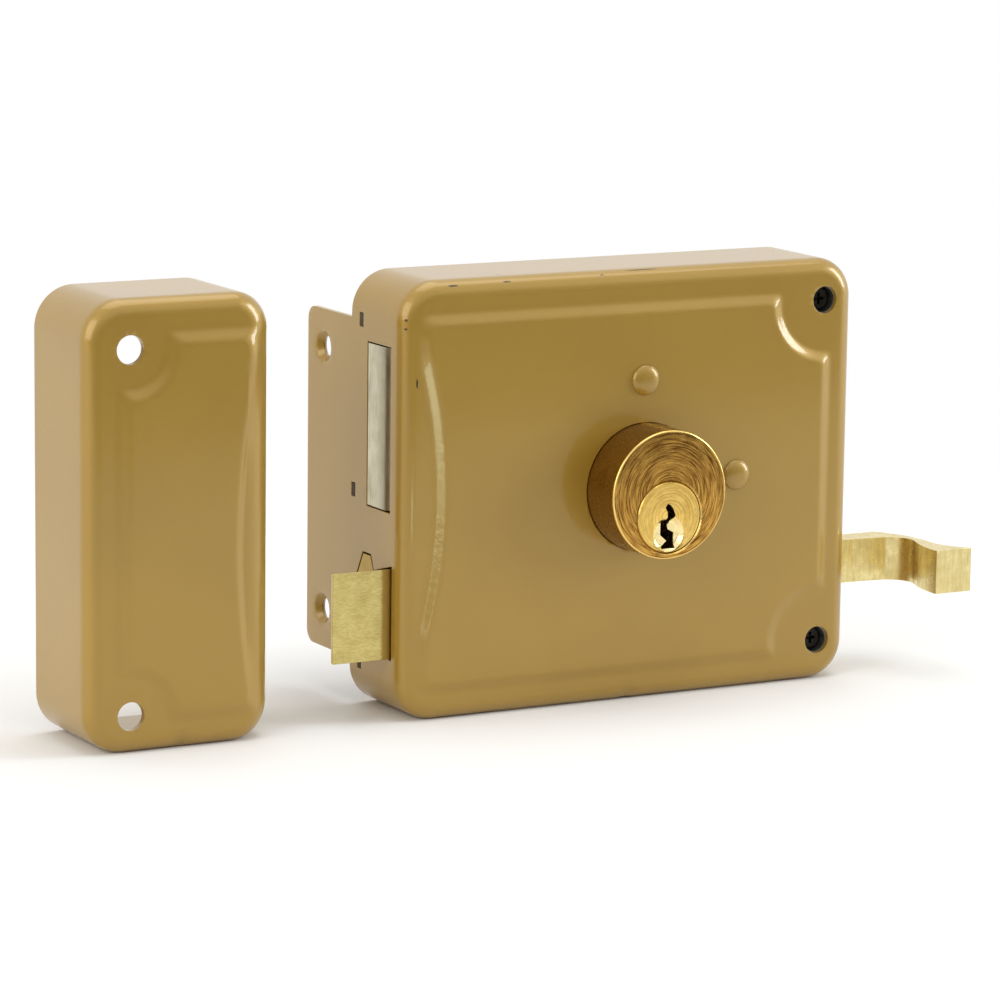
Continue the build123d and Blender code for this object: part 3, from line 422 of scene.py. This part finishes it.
# How finely the shells are divided: steps, rings and rows in mm, angles in degrees, and the band
# of fine mesh along the raised field's slope as shares of that slope's width
shellMesh = {
    "cornerSteps": 14, "straightStep": 2.5, "windowStep": 1.0, "slopeStep": 0.55, "flatStep": 1.9,
    "bandMiddle": 0.3, "bandReach": 0.8, "seamPoints": 9, "rollRows": 8, "sideRows": (1.5, 5.0),
    "rowStep": 5.0, "pastEnd": 24, "flangeCornerSteps": 10, "flangeClear": 0.05,
    "holePoints": 40, "dishRings": (3.0, 3.4, 3.8), "rimClear": 0.12,
    "sharpAngle": 42, "edgeRound": 0.16, "edgeAngle": 55,
}


# The way round a rounded rectangle, from the middle of its bottom towards +X
def wayRound(width, height, radius, middleX):
    arc = math.pi * radius / 2
    flatX, flatZ = width - 2 * radius, height - 2 * radius
    left, right = middleX - width / 2, middleX + width / 2
    starts = np.cumsum([0, flatX / 2, arc, flatZ, arc, flatX, arc, flatZ, arc, flatX / 2])
    corners = {2: (right - radius, radius, -90), 4: (right - radius, height - radius, 0),
               6: (left + radius, height - radius, 90), 8: (left + radius, radius, 180)}

    def at(u):
        part = min(int(np.searchsorted(starts, u, side="right")), 9)
        s = u - starts[part - 1]
        if part in corners:
            cx, cz, turn = corners[part]
            a = math.radians(turn) + s / radius
            return cx + radius * math.cos(a), cz + radius * math.sin(a), math.cos(a), math.sin(a)
        straight = {1: (middleX + s, 0, 0, -1), 3: (right, radius + s, 1, 0),
                    5: (right - radius - s, height, 0, 1), 7: (left, height - radius - s, -1, 0),
                    9: (left + radius + s, 0, 0, -1)}
        return straight[part]

    samples = []
    for part in range(1, 10):
        first, length = starts[part - 1], starts[part] - starts[part - 1]
        steps = max(1, round(length / shellMesh["straightStep"]))
        if part in corners:
            steps = shellMesh["cornerSteps"]
        samples += [first + length * i / steps for i in range(steps)]
    samples.append(starts[-1])
    places = {"left": lambda z: starts[6] + (height - radius - z),
              "right": lambda z: starts[2] + (z - radius)}
    return at, samples, places, starts


def softMin(a, b, k):
    h = np.clip(0.5 + 0.5 * (b - a) / k, 0, 1)
    return b * (1 - h) + a * h - k * h * (1 - h)


# A drawn steel shell: its front with a pressed-up field, its edge rolled over, and its sides laid
# out flat as distance round by distance down, so that windows and flange are cut in one sheet
def makeShell(name, node, shell, frontHoles, sideHoles, flange=None):
    at, samples, places, starts = wayRound(shell["width"], shell["height"], shell["corner"], shell["middleX"])
    front, back, field = shell["front"], shell["back"], shell["field"]
    roll, rightRoll = shell["roll"], shell["rightRoll"]
    quarter = roll * math.pi / 2

    def rollAt(u):  # the right side may be rolled more than the rest
        toRight = min(max((u - starts[1]) / (starts[2] - starts[1]), 0), 1)
        pastRight = min(max((u - starts[3]) / (starts[4] - starts[3]), 0), 1)
        return roll + (rightRoll - roll) * (toRight - pastRight)

    def down(u, y):
        r = rollAt(u)
        if y - front < r:
            return quarter * math.acos(1 - (y - front) / r) / (math.pi / 2)
        return quarter + (y - front - r) * (back - front - roll) / (back - front - r)

    def raised(x, z):  # how far the front is pressed up there, and how deep in the field it lies
        depth = softMin(softMin(x - field["left"], field["right"] - x, field["sideBlend"]),
                        softMin(z - field["bottom"], field["top"] - z, field["sideBlend"]), field["blend"])
        pinch = np.hypot(x - field["pinchX"], z - field["pinchZ"]) - field["pinchRadius"]
        depth = softMin(depth, pinch * field["pinchSteep"], field["pinchBlend"])
        for hx, hz in field["cuts"]:
            depth = softMin(depth, np.hypot(x - hx, z - hz) - field["cutRadius"], field["cutBlend"])
        s = np.clip((depth + field["foot"]) / field["spread"], 0, 1)
        return field["rise"] * s * s * (3 - 2 * s), depth

    def sidePoint(u, t):
        x, z, nx, nz = at(u)
        r = rollAt(u)
        if t >= quarter:
            return x, front + r + (t - quarter) * (back - front - r) / (back - front - roll), z
        a = t / quarter * math.pi / 2
        x, z = x - nx * r * (1 - math.sin(a)), z - nz * r * (1 - math.sin(a))
        return x, front + r * (1 - math.cos(a)) - raised(x, z)[0], z

    bm = bmesh.new()
    outline = [(p[0], p[2]) for p in (sidePoint(u, 0.0) for u in samples[:-1])]
    lowX, lowZ = np.min(outline, axis=0)
    highX, highZ = np.max(outline, axis=0)
    bandMiddle, bandReach = (field["spread"] * shellMesh[k] for k in ("bandMiddle", "bandReach"))
    grid = []
    for step, onSlope in ((shellMesh["slopeStep"], True), (shellMesh["flatStep"], False)):
        gx, gz = np.meshgrid(np.arange(lowX, highX, step), np.arange(lowZ, highZ, step))
        near = np.abs(raised(gx, gz)[1] - bandMiddle) < bandReach
        pick = near if onSlope else ~near
        grid.append(np.column_stack([gx[pick], gz[pick]]))
    where, faces = fillRegion(outline, frontHoles, np.vstack(grid))
    lift = raised(where[:, 0], where[:, 1])[0]
    addFaces(bm, [(p[0], front - h, p[1]) for p, h in zip(where, lift)], faces)

    end = down(samples[0], back)
    seam = np.linspace(0, end, shellMesh["seamPoints"])
    outer = [(u, 0.0) for u in samples] + [(samples[-1], t) for t in seam[1:-1]]
    bottomRow = [(u, end) for u in reversed(samples)]
    if flange:
        u0, u1 = places["left"](flange["top"]), places["left"](flange["bottom"])
        reach, r = end + flange["rear"] - back, flange["corner"]
        steps, clear = shellMesh["flangeCornerSteps"], shellMesh["flangeClear"]
        turns = [math.radians(90 * k / steps) for k in range(steps + 1)]
        lip = [(u1, end)] + [(u1 - r + r * math.cos(a), reach - r + r * math.sin(a)) for a in turns]
        lip += [(u0 + r - r * math.sin(a), reach - r + r * math.cos(a)) for a in turns] + [(u0, end)]
        before = [p for p in bottomRow if p[0] > u1 + clear]
        after = [p for p in bottomRow if p[0] < u0 - clear]
        bottomRow = before + lip + after
    outer += bottomRow + [(samples[0], t) for t in seam[::-1][1:-1]]
    rows = [quarter * k / shellMesh["rollRows"] for k in range(1, shellMesh["rollRows"] + 1)]
    rows += [quarter + distance for distance in shellMesh["sideRows"]]
    rows += list(np.arange(rows[-1] + shellMesh["rowStep"], end + shellMesh["pastEnd"], shellMesh["rowStep"]))
    grid = [(u, t) for t in rows for u in samples[1:-1]]
    holes = []
    for side, loop in sideHoles:
        holes.append([(places[side](z), down(places[side](z), y)) for y, z in loop])
    dishes = []
    for z in (flange["holes"] if flange else ()):
        centre = (places["left"](z), end + flange["holeY"] - back)
        holes.append(ring(*centre, flange["holeRadius"], shellMesh["holePoints"]))
        dishes.append(centre)
        for radius in shellMesh["dishRings"]:
            grid += ring(*centre, radius, shellMesh["holePoints"])
    where, faces = fillRegion(outer, holes, grid, shellMesh["rimClear"])
    points = []
    for u, t in where:
        x, y, z = sidePoint(u, t)
        for cu, ct in dishes:  # the flange's screw holes are dished towards the door
            away = math.hypot(u - cu, t - ct)
            if away < flange["dishRadius"]:
                x += flange["dishDepth"] * min(1.0, flange["dishRadius"] - away)
        points.append((x, y, z))
    addFaces(bm, points, faces)
    bmesh.ops.remove_doubles(bm, verts=bm.verts, dist=weld)
    bmesh.ops.recalc_face_normals(bm, faces=bm.faces)
    foremost = min(bm.faces, key=lambda f: f.calc_center_median().y)
    if foremost.normal.y > 0:
        bmesh.ops.reverse_faces(bm, faces=bm.faces)
    piece = finishPiece(bm, name, node, enamel, "beige_paint", shellMesh["sharpAngle"])
    sheet = piece.modifiers.new("sheet", "SOLIDIFY")
    sheet.thickness = shell["sheet"] * mm
    sheet.offset = -1
    sheet.use_even_offset = True
    roundEdges(piece, shellMesh["edgeRound"], shellMesh["edgeAngle"])
    print(name, "made,", len(piece.data.polygons), "faces before its thickness")


# The field's slope is spread mm wide and starts foot mm outside its outline. Its left side is drawn
# in by a circle, and its cuts go round the screw holes. Windows are given by Y and Z.
case = {
    "width": 115.5, "height": 97.0, "corner": 9.0, "middleX": 23.0, "front": -16.75, "back": 7.75,
    "roll": 3.6, "rightRoll": 4.2, "sheet": 1.2, "cylinderHole": 14.5, "cylinderHolePoints": 96,
    "screwHole": 3.1,
    "field": {"left": -31.3, "right": 73.9, "bottom": 6.4, "top": 89.6, "rise": 1.0, "spread": 3.2,
              "foot": 0.64, "blend": 3.2, "sideBlend": 2.0, "pinchX": -138.7, "pinchZ": 50.0,
              "pinchRadius": 112.0, "pinchSteep": 0.73, "pinchBlend": 1.6,
              "cuts": [(72.55, 9.3), (72.55, 87.7)], "cutRadius": 11.8, "cutBlend": 1.6},
}
flange = {"top": 86.75, "bottom": 10.25, "rear": 29.25, "corner": 3.0, "holes": (18.75, 78.25),
          "holeY": 21.65, "holeRadius": 2.2, "dishRadius": 3.6, "dishDepth": 1.3}
latchSection = [(-11.75, 13.7), (-11.75, 33.8), (-3.55, 31.5865), (-1.95, 35.0), (1.45, 35.0),
                (4.55, 29.4), (4.55, 18.1)]
latchGap = 0.4
caseWindows = {
    "deadbolt": ("left", rectangle(-11.15, 0.05, 45.85, 82.35)),
    "latch": ("left", divided(grown(latchSection, latchGap), shellMesh["windowStep"])),
    "lowTab": ("left", rectangle(2.2, 4.0, 8.75, 11.85)),
    "highTab": ("left", rectangle(2.2, 4.0, 85.15, 88.25)),
    "middleTab": ("left", rectangle(5.6, 7.4, 46.95, 50.05)),
    "pull": ("right", rectangle(-5.25, 1.75, 18.7, 29.8)),
}
frontHoles = [ring(cylinderAxis["x"], cylinderAxis["barrelZ"], case["cylinderHole"],
                   case["cylinderHolePoints"])]
frontHoles += [ring(x, z, case["screwHole"]) for x, z in case["field"]["cuts"]]
makeShell("caseShell", "case_shell", case, frontHoles, caseWindows.values(), flange)

# The keep's field is drawn in at its right side, over the mouths for the bolts
keep = {
    "width": 44.0, "height": 97.0, "corner": 9.0, "middleX": -86.75, "front": -16.75, "back": 10.75,
    "roll": 3.6, "rightRoll": 7.0, "sheet": 1.5, "screwHole": 3.1,
    "field": {"left": -101.35, "right": -68.0, "bottom": 6.4, "top": 89.6, "rise": 1.0, "spread": 3.6,
              "foot": 0.72, "blend": 4.0, "sideBlend": 2.0, "pinchX": 102.6, "pinchZ": 42.0,
              "pinchRadius": 175.5, "pinchSteep": 1.5, "pinchBlend": 2.0,
              "cuts": [(-98.75, 8.2), (-98.75, 86.4)], "cutRadius": 8.5, "cutBlend": 2.0},
}
keepMouths = {
    "deadbolt": ("right", rectangle(-12.45, 1.35, 44.55, 83.65)),
    "latch": ("right", rectangle(-13.35, 6.15, 12.1, 35.4)),
}
screwHoles = [ring(x, z, keep["screwHole"]) for x, z in keep["field"]["cuts"]]
makeShell("keepShell", "keep", keep, screwHoles, keepMouths.values())


# Turned cylinder: the barrel's face is bored for the plug, its rim and the bore's mouth are broken.
# The plug has a keyway in a shallow funnel.
cylinder = {"x": cylinderAxis["x"], "z": cylinderAxis["barrelZ"], "radius": 14.4, "rim": 0.4,
            "front": -29.25, "rear": -16.55, "plugZ": cylinderAxis["plugZ"], "bore": 8.15,
            "mouth": 0.35, "plugRadius": 8.1, "plugRim": 0.35, "plugFront": -29.15, "plugRear": -14.25,
            "keyDepth": 13.5, "barrelPoints": 144, "borePoints": 120, "rimSteps": 6, "rimRow": 0.3,
            "barrelSharp": 32, "plugSharp": 25}
funnel = {"x": 25.1, "z": 39.7, "mouth": 3.9, "floor": 3.0, "depth": 0.9, "points": 96, "rings": 28,
          "firstRing": 0.3, "pastMouth": 0.1, "outerRings": (4.4, 5.6, 6.8), "outerPoints": 60,
          "keyStep": 0.3, "rimClear": 0.1}
markEdge = 0.01  # a point this far past a turned edge, in mm, counts as beyond it
markSlope = 0.05  # and this far past the funnel
keyway = [
    (-0.4, 3.1), (-1.0, 2.2), (-0.45, 1.2), (-0.35, -0.5), (-1.7, -1.0), (-1.75, -4.0), (-0.15, -5.4),
    (-1.65, -6.7), (-1.65, -7.1), (1.65, -7.1), (1.65, -5.9), (1.55, -4.8), (1.65, -3.6), (0.15, -2.8),
    (-0.1, -1.9), (0.75, -0.8), (1.6, 0.3), (1.1, 1.7), (0.35, 2.7),
]


# Takes a circle's points to another radius about the same middle, at depth y
def circleTo(cx, cz, fromRadius, toRadius, y):
    k = toRadius / fromRadius
    return lambda p: (cx + (p[0] - cx) * k, y, cz + (p[1] - cz) * k)


# Closes a turned piece and marks each point: 1 on a burnished edge that is also painted paler as a highlight,
# -1 on an old surface, else 0
def closeTurned(bm, name, node, material, sharpAngle, finishAt):
    bmesh.ops.remove_doubles(bm, verts=bm.verts, dist=weld)
    bmesh.ops.recalc_face_normals(bm, faces=bm.faces)
    finishLayer = bm.verts.layers.float.new("finish")
    for v in bm.verts:
        v[finishLayer] = finishAt(*(c * perMm for c in v.co))
    finishPiece(bm, name, node, material, "turned_brass", sharpAngle)


def makeBarrel():
    c = cylinder
    bm = bmesh.new()
    faceRadius, mouthRadius = c["radius"] - c["rim"], c["bore"] + c["mouth"]
    rimCircle = ring(c["x"], c["z"], c["radius"], c["barrelPoints"])
    boreCircle = ring(c["x"], c["plugZ"], c["bore"], c["borePoints"])
    where, faces = fillRegion(ring(c["x"], c["z"], faceRadius, c["barrelPoints"]),
                              [ring(c["x"], c["plugZ"], mouthRadius, c["borePoints"])])
    addFaces(bm, [(p[0], c["front"], p[1]) for p in where], faces)
    where, faces = fillRegion(rimCircle, [boreCircle])
    addFaces(bm, [(p[0], c["rear"], p[1]) for p in where], faces)
    turns = [math.radians(90 * i / c["rimSteps"]) for i in range(c["rimSteps"] + 1)]
    addWall(bm, rimCircle, [circleTo(c["x"], c["z"], c["radius"], faceRadius + c["rim"] * math.sin(a),
                                     c["front"] + c["rim"] * (1 - math.cos(a))) for a in turns])
    sideStart = c["front"] + c["rim"]
    sideRows = (sideStart, sideStart + c["rimRow"], c["rear"])
    addWall(bm, rimCircle, [circleTo(c["x"], c["z"], 1, 1, y) for y in sideRows])
    addWall(bm, boreCircle, [circleTo(c["x"], c["plugZ"], c["bore"], mouthRadius, c["front"]),
                             circleTo(c["x"], c["plugZ"], 1, 1, c["front"] + c["mouth"]),
                             circleTo(c["x"], c["plugZ"], 1, 1, c["rear"])])

    def finishAt(x, y, z):
        if y < c["front"] + markEdge:
            return 0.0
        return 1.0 if y < sideStart + markEdge else -1.0

    closeTurned(bm, "cylinderBarrel", "cylinder_body", barrelBrass, c["barrelSharp"], finishAt)


def makePlug():
    c, f = cylinder, funnel
    bm = bmesh.new()
    faceRadius = c["plugRadius"] - c["plugRim"]
    outline = ring(c["x"], c["plugZ"], faceRadius, c["borePoints"])
    slot = divided([(c["x"] + x, c["plugZ"] + z) for x, z in keyway], f["keyStep"])
    radii = np.linspace(f["firstRing"], f["mouth"] + f["pastMouth"], f["rings"])
    grid = [p for r in radii for p in ring(f["x"], f["z"], r, f["points"])]
    grid += [p for r in f["outerRings"] for p in ring(c["x"], c["plugZ"], r, f["outerPoints"])]

    def faceY(x, z):
        away = math.hypot(x - f["x"], z - f["z"])
        share = (f["mouth"] - away) / (f["mouth"] - f["floor"])
        return c["plugFront"] + f["depth"] * min(1.0, max(0.0, share))

    where, faces = fillRegion(outline, [slot], grid, f["rimClear"])
    addFaces(bm, [(p[0], faceY(*p), p[1]) for p in where], faces)
    keyEnd = c["plugFront"] + c["keyDepth"]
    addWall(bm, slot, [lambda p: (p[0], faceY(*p), p[1]), lambda p: (p[0], keyEnd, p[1])])
    where, faces = fillRegion(slot, [])
    addFaces(bm, [(p[0], keyEnd, p[1]) for p in where], faces)
    rear = circleTo(c["x"], c["plugZ"], faceRadius, c["plugRadius"], c["plugRear"])
    addWall(bm, outline, [circleTo(c["x"], c["plugZ"], 1, 1, c["plugFront"]),
                          circleTo(c["x"], c["plugZ"], faceRadius, c["plugRadius"],
                                   c["plugFront"] + c["plugRim"]), rear])
    where, faces = fillRegion(outline, [])
    addFaces(bm, [rear(p) for p in where], faces)

    def finishAt(x, y, z):
        if y > c["plugFront"] + f["depth"] + markSlope:
            return -1.0
        if math.hypot(x - c["x"], z - c["plugZ"]) > faceRadius + markEdge:
            return -1.0
        return 1.0 if math.hypot(x - f["x"], z - f["z"]) < f["mouth"] + markSlope else 0.0

    closeTurned(bm, "cylinderPlug", "plug", plugBrass, c["plugSharp"], finishAt)


makeBarrel()
makePlug()
print("cylinder made")


flatAngle = 0.6  # faces that meet at less than this, in degrees, are joined
cutAngle = 30  # and an edge sharper than this is a real one


# A piece with the part's own shape, its corners merged so that it shades smoothly
def mergedCopy(name, node, material, slot):
    bm = bmesh.new()
    bm.from_mesh(nodes[node].data)
    bmesh.ops.remove_doubles(bm, verts=bm.verts, dist=weld)
    bmesh.ops.dissolve_limit(bm, angle_limit=math.radians(flatAngle), verts=bm.verts, edges=bm.edges)
    return finishPiece(bm, name, node, material, slot, cutAngle)


# Cut and sawn pieces: node, finish, slot, and how far the edges are broken
cutPieces = {
    "latchBolt": ("latch_bolt", latchBrass, "sawn_brass", 0.15),
    "hookedPull": ("pull_handle", pullBrass, "sawn_brass", 0.12),
    "deadboltBlock": ("deadbolt", nickel, "nickel_plate", 0.25),
}
for name, (node, material, slot, width) in cutPieces.items():
    roundEdges(mergedCopy(name, node, material, slot), width, cutAngle)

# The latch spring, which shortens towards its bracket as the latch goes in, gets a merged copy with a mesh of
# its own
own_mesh(mergedCopy("latchSpring", "latch_spring", spring, "spring_steel"))
print("bolts, pull and latch spring made")


# Rivet heads repeat, so one turned shape is placed on points by a small tree
def placeHeads(name, node, material, profile, places, sides, sharpAngle):
    bm = bmesh.new()
    rows = addWall(bm, ring(0, 0, 1, sides), [circleTo(0, 0, 1, r, y) for r, y in profile])
    bm.faces.new(rows[0])
    bm.faces.new(rows[-1])
    bmesh.ops.recalc_face_normals(bm, faces=bm.faces)
    single = bpy.data.meshes.new(name + "One")
    bm.to_mesh(single)
    bm.free()
    single.shade_smooth()
    single.set_sharp_from_angle(angle=math.radians(sharpAngle))
    pattern = bpy.data.objects.new(name + "One", single)
    scene.collection.objects.link(pattern)

    tree = bpy.data.node_groups.new(name + "Places", "GeometryNodeTree")
    tree.interface.new_socket("Points", in_out="INPUT", socket_type="NodeSocketGeometry")
    tree.interface.new_socket("Head", in_out="INPUT", socket_type="NodeSocketObject")
    tree.interface.new_socket("Size", in_out="INPUT", socket_type="NodeSocketFloat")
    tree.interface.new_socket("Heads", in_out="OUTPUT", socket_type="NodeSocketGeometry")
    given = addNode(tree, "NodeGroupInput")
    shape = addNode(tree, "GeometryNodeObjectInfo", None, {"Object": given.outputs["Head"]})
    placed = addNode(tree, "GeometryNodeInstanceOnPoints", None,
                     {"Points": given.outputs["Points"], "Instance": shape.outputs["Geometry"],
                      "Scale": given.outputs["Size"]})
    real = addNode(tree, "GeometryNodeRealizeInstances", None, {"Geometry": placed})
    coated = addNode(tree, "GeometryNodeSetMaterial", {"Material": material}, {"Geometry": real})
    addNode(tree, "NodeGroupOutput", None, {0: coated})

    points = bpy.data.meshes.new(name + "Points")
    points.from_pydata([[c * mm for c in p] for p in places], [], [])
    holder = bpy.data.objects.new(name + "Holder", points)
    scene.collection.objects.link(holder)
    maker = holder.modifiers.new("places", "NODES")
    maker.node_group = tree
    inputs = {item.name: item.identifier for item in tree.interface.items_tree if item.in_out == "INPUT"}
    maker[inputs["Head"]] = pattern
    maker[inputs["Size"]] = 1.0
    view = bpy.context.evaluated_depsgraph_get()
    mesh = bpy.data.meshes.new_from_object(holder.evaluated_get(view), depsgraph=view)
    mesh.name = name
    piece = bpy.data.objects.new(name, mesh)
    scene.collection.objects.link(piece)
    bpy.data.objects.remove(holder)
    bpy.data.objects.remove(pattern)
    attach(piece, nodes[node]["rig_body"])
    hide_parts(node)


# A domed head, a shank through the sheets and a flat closed end; its profile starts and ends at a
# tiny flat on the axis
rivet = {"head": 3.4, "height": 1.3, "flatness": 0.75, "shank": 1.6, "through": 3.2, "tail": 2.6,
         "end": 4.0, "flat": 0.02, "steps": 14, "sides": 64, "sharpAngle": 38,
         "places": [(25.25, -17.75, 72.5), (49.25, -17.75, 49.5)]}
rivetProfile = [(rivet["flat"], -rivet["height"])]
for step in range(1, rivet["steps"]):
    turned = math.radians(90 * step / rivet["steps"])
    out = rivet["head"] * math.sin(turned) ** rivet["flatness"]
    rivetProfile.append((out, -rivet["height"] * math.cos(turned)))
rivetProfile += [(rivet["head"], 0.0), (rivet["shank"], 0.0), (rivet["shank"], rivet["through"]),
                 (rivet["tail"], rivet["through"]), (rivet["tail"], rivet["end"]),
                 (rivet["flat"], rivet["end"])]
placeHeads("carrierRivets", "carrier_rivets", enamel, rivetProfile, rivet["places"],
           rivet["sides"], rivet["sharpAngle"])
print("rivets made")

# Inner and small pieces keep the part's own shapes
innerFinish = {
    "closing_screws": black, "back_plate": phosphateAndSlotShade, "pin_springs": spring, "detent_spring": spring,
    "chamber_caps": plugBrass, "key_pins": plugBrass, "driver_pins": plugBrass,
}
for nodeName, piece in nodes.items():
    if not piece.hide_render:
        piece.data.materials.clear()
        piece.data.materials.append(innerFinish.get(nodeName, zinc))
print("inner pieces finished")


# Studio: a pale sheet in a white room that is dim low down in front of the lock, so that its glossy
# faces keep their depth, three soft lamps, and a small card of light low at the left that reaches
# the case shell alone, as a wedge of light on the drawn-in side of its field. In metres.
studio = {
    "floor": "F4F3F0", "dimFloor": "5A5A5A", "halfSize": 8,
    "fadeFrom": 0.15, "fadeTo": 0.4,  # how far off the sheet turns to plain white
    "sheetEnd": -0.24, "dimFrom": -0.44,  # where the sheet darkens towards the front
    "frontFrom": -0.3, "frontTo": -0.75, "lowFrom": 0.5, "lowTo": 0.15,  # where the room is dim
    "fill": 0.68, "dim": 0.3, "aim": (0, 0, 0.05),
    "lamps": {
        "rightLamp": {"place": (1.5, -0.62, 0.5), "size": (0.5, 0.9), "power": 13.5,
                      "tint": (0.9, 1.0, 1.15)},
        "leftLamp": {"place": (-1.5, -0.4, 0.7), "size": (1.4, 1.2), "power": 12.5},
        "topLamp": {"place": (0.2, 0.1, 1.7), "size": (1.4, 1.4), "power": 11},
        "glintCard": {"place": (-0.055, -0.26, 0.002), "size": (0.036, 0.036), "power": 0.04,
                      "aim": (-0.055, -0.26, 1.0), "tint": (0.88, 1.0, 0.68), "only": "caseShell"},
    },
}


# How strongly a ray sees the white of the background
def addSeen(tree):
    rays = addNode(tree, "ShaderNodeLightPath")
    either = addNode(tree, "ShaderNodeMath", {"operation": "MAXIMUM"},
                     {0: rays.outputs["Is Glossy Ray"], 1: rays.outputs["Is Transmission Ray"]})
    return rays.outputs["Is Camera Ray"], either


def makeFloor():
    far = studio["halfSize"]
    mesh = bpy.data.meshes.new("studioFloor")
    mesh.from_pydata([(-far, -far, 0), (far, -far, 0), (far, far, 0), (-far, far, 0)], [], [(0, 1, 2, 3)])
    floor = bpy.data.objects.new("studioFloor", mesh)
    scene.collection.objects.link(floor)
    material, tree, place = startMaterial("matPaleSheet")
    towards = addNode(tree, "ShaderNodeSeparateXYZ", None, {0: place}).outputs["Y"]
    dim = addNode(tree, "ShaderNodeMapRange", {"interpolation_type": "SMOOTHSTEP", 1: studio["sheetEnd"],
                                               2: studio["dimFrom"]}, {0: towards})
    tone = addNode(tree, "ShaderNodeMix", {"data_type": "RGBA", 6: fromHex(studio["floor"]),
                                           7: fromHex(studio["dimFloor"])}, {0: dim})
    matt = addNode(tree, "ShaderNodeBsdfDiffuse", None, {"Color": tone.outputs[2]})
    away = addNode(tree, "ShaderNodeVectorMath", {"operation": "LENGTH"}, {0: place}).outputs["Value"]
    fade = addNode(tree, "ShaderNodeMapRange", {"interpolation_type": "SMOOTHSTEP", 1: studio["fadeFrom"],
                                                2: studio["fadeTo"]}, {0: away})
    byCamera, byMirror = addSeen(tree)
    lit = addNode(tree, "ShaderNodeMath", {"operation": "SUBTRACT", 0: 1.0}, {1: dim})
    byMirror = addNode(tree, "ShaderNodeMath", {"operation": "MULTIPLY"}, {0: byMirror, 1: lit})
    seen = addNode(tree, "ShaderNodeMath", {"operation": "MAXIMUM"}, {0: byCamera, 1: byMirror})
    share = addNode(tree, "ShaderNodeMath", {"operation": "MULTIPLY"}, {0: seen, 1: fade})
    white = addNode(tree, "ShaderNodeEmission", {"Color": (1, 1, 1, 1), "Strength": 1.0})
    mixed = addNode(tree, "ShaderNodeMixShader", None, {0: share, 1: matt, 2: white})
    addNode(tree, "ShaderNodeOutputMaterial", None, {"Surface": mixed})
    mesh.materials.append(material)


def makeRoom():
    world = bpy.data.worlds.new("studioRoom")
    scene.world = world
    world.use_nodes = True
    tree = world.node_tree
    tree.nodes.clear()
    direction = addNode(tree, "ShaderNodeTexCoord").outputs["Generated"]
    parts = addNode(tree, "ShaderNodeSeparateXYZ", None, {0: direction})
    inFront = addNode(tree, "ShaderNodeMapRange", {"interpolation_type": "SMOOTHSTEP", 1: studio["frontFrom"],
                                                   2: studio["frontTo"]}, {0: parts.outputs["Y"]})
    low = addNode(tree, "ShaderNodeMapRange", {"interpolation_type": "SMOOTHSTEP", 1: studio["lowFrom"],
                                               2: studio["lowTo"]}, {0: parts.outputs["Z"]})
    dim = addNode(tree, "ShaderNodeMath", {"operation": "MULTIPLY"}, {0: inFront, 1: low})
    byCamera, byMirror = addSeen(tree)
    seen = addNode(tree, "ShaderNodeMath", {"operation": "MAXIMUM"}, {0: byCamera, 1: byMirror})
    bright = addNode(tree, "ShaderNodeMapRange", {3: studio["fill"], 4: 1.0}, {0: seen})
    level = addNode(tree, "ShaderNodeMapRange", {4: studio["dim"]}, {0: dim, 3: bright})
    room = addNode(tree, "ShaderNodeBackground", {"Color": (1, 1, 1, 1)}, {"Strength": level})
    addNode(tree, "ShaderNodeOutputWorld", None, {"Surface": room})


def makeLamps():
    for name, lamp in studio["lamps"].items():
        light = bpy.data.lights.new(name, "AREA")
        light.shape = "RECTANGLE"
        light.size, light.size_y = lamp["size"]
        light.energy = lamp["power"]
        light.color = lamp.get("tint", (1, 1, 1))
        holder = bpy.data.objects.new(name, light)
        place = Vector(lamp["place"])
        holder.location = place
        aim = Vector(lamp.get("aim", studio["aim"]))
        holder.rotation_euler = (aim - place).to_track_quat("-Z", "Y").to_euler()
        scene.collection.objects.link(holder)
        if "only" in lamp:
            lit = bpy.data.collections.new(name + "Lights")
            lit.objects.link(bpy.data.objects[lamp["only"]])
            holder.light_linking.receiver_collection = lit


makeFloor()
makeRoom()
makeLamps()

# Camera at the photograph's angle: to the lock's left and a little above it
camera = {"azimuth": -28.788, "elevation": 10.224, "roll": 0.737, "place": (-484.9, -880.02, 225.7),
          "lens": 164.736, "sensor": 36, "nearest": 10}
lens = bpy.data.cameras.new("photoCamera")
lens.sensor_width = camera["sensor"]
lens.lens = camera["lens"]
lens.clip_start = camera["nearest"] * mm
viewer = bpy.data.objects.new("photoCamera", lens)
azimuth, elevation, roll = (math.radians(camera[k]) for k in ("azimuth", "elevation", "roll"))
forward = Vector((-math.sin(azimuth) * math.cos(elevation), math.cos(azimuth) * math.cos(elevation),
                  -math.sin(elevation)))
right = Vector((math.cos(azimuth), math.sin(azimuth), 0))
up = right.cross(forward)
right, up = right * math.cos(roll) + up * math.sin(roll), up * math.cos(roll) - right * math.sin(roll)
turn = Matrix((right, up, -forward)).transposed()
viewer.matrix_world = Matrix.Translation(Vector(camera["place"]) * mm) @ turn.to_4x4()
scene.collection.objects.link(viewer)
scene.camera = viewer
scene.view_settings.view_transform = "Standard"
print("studio and camera set")
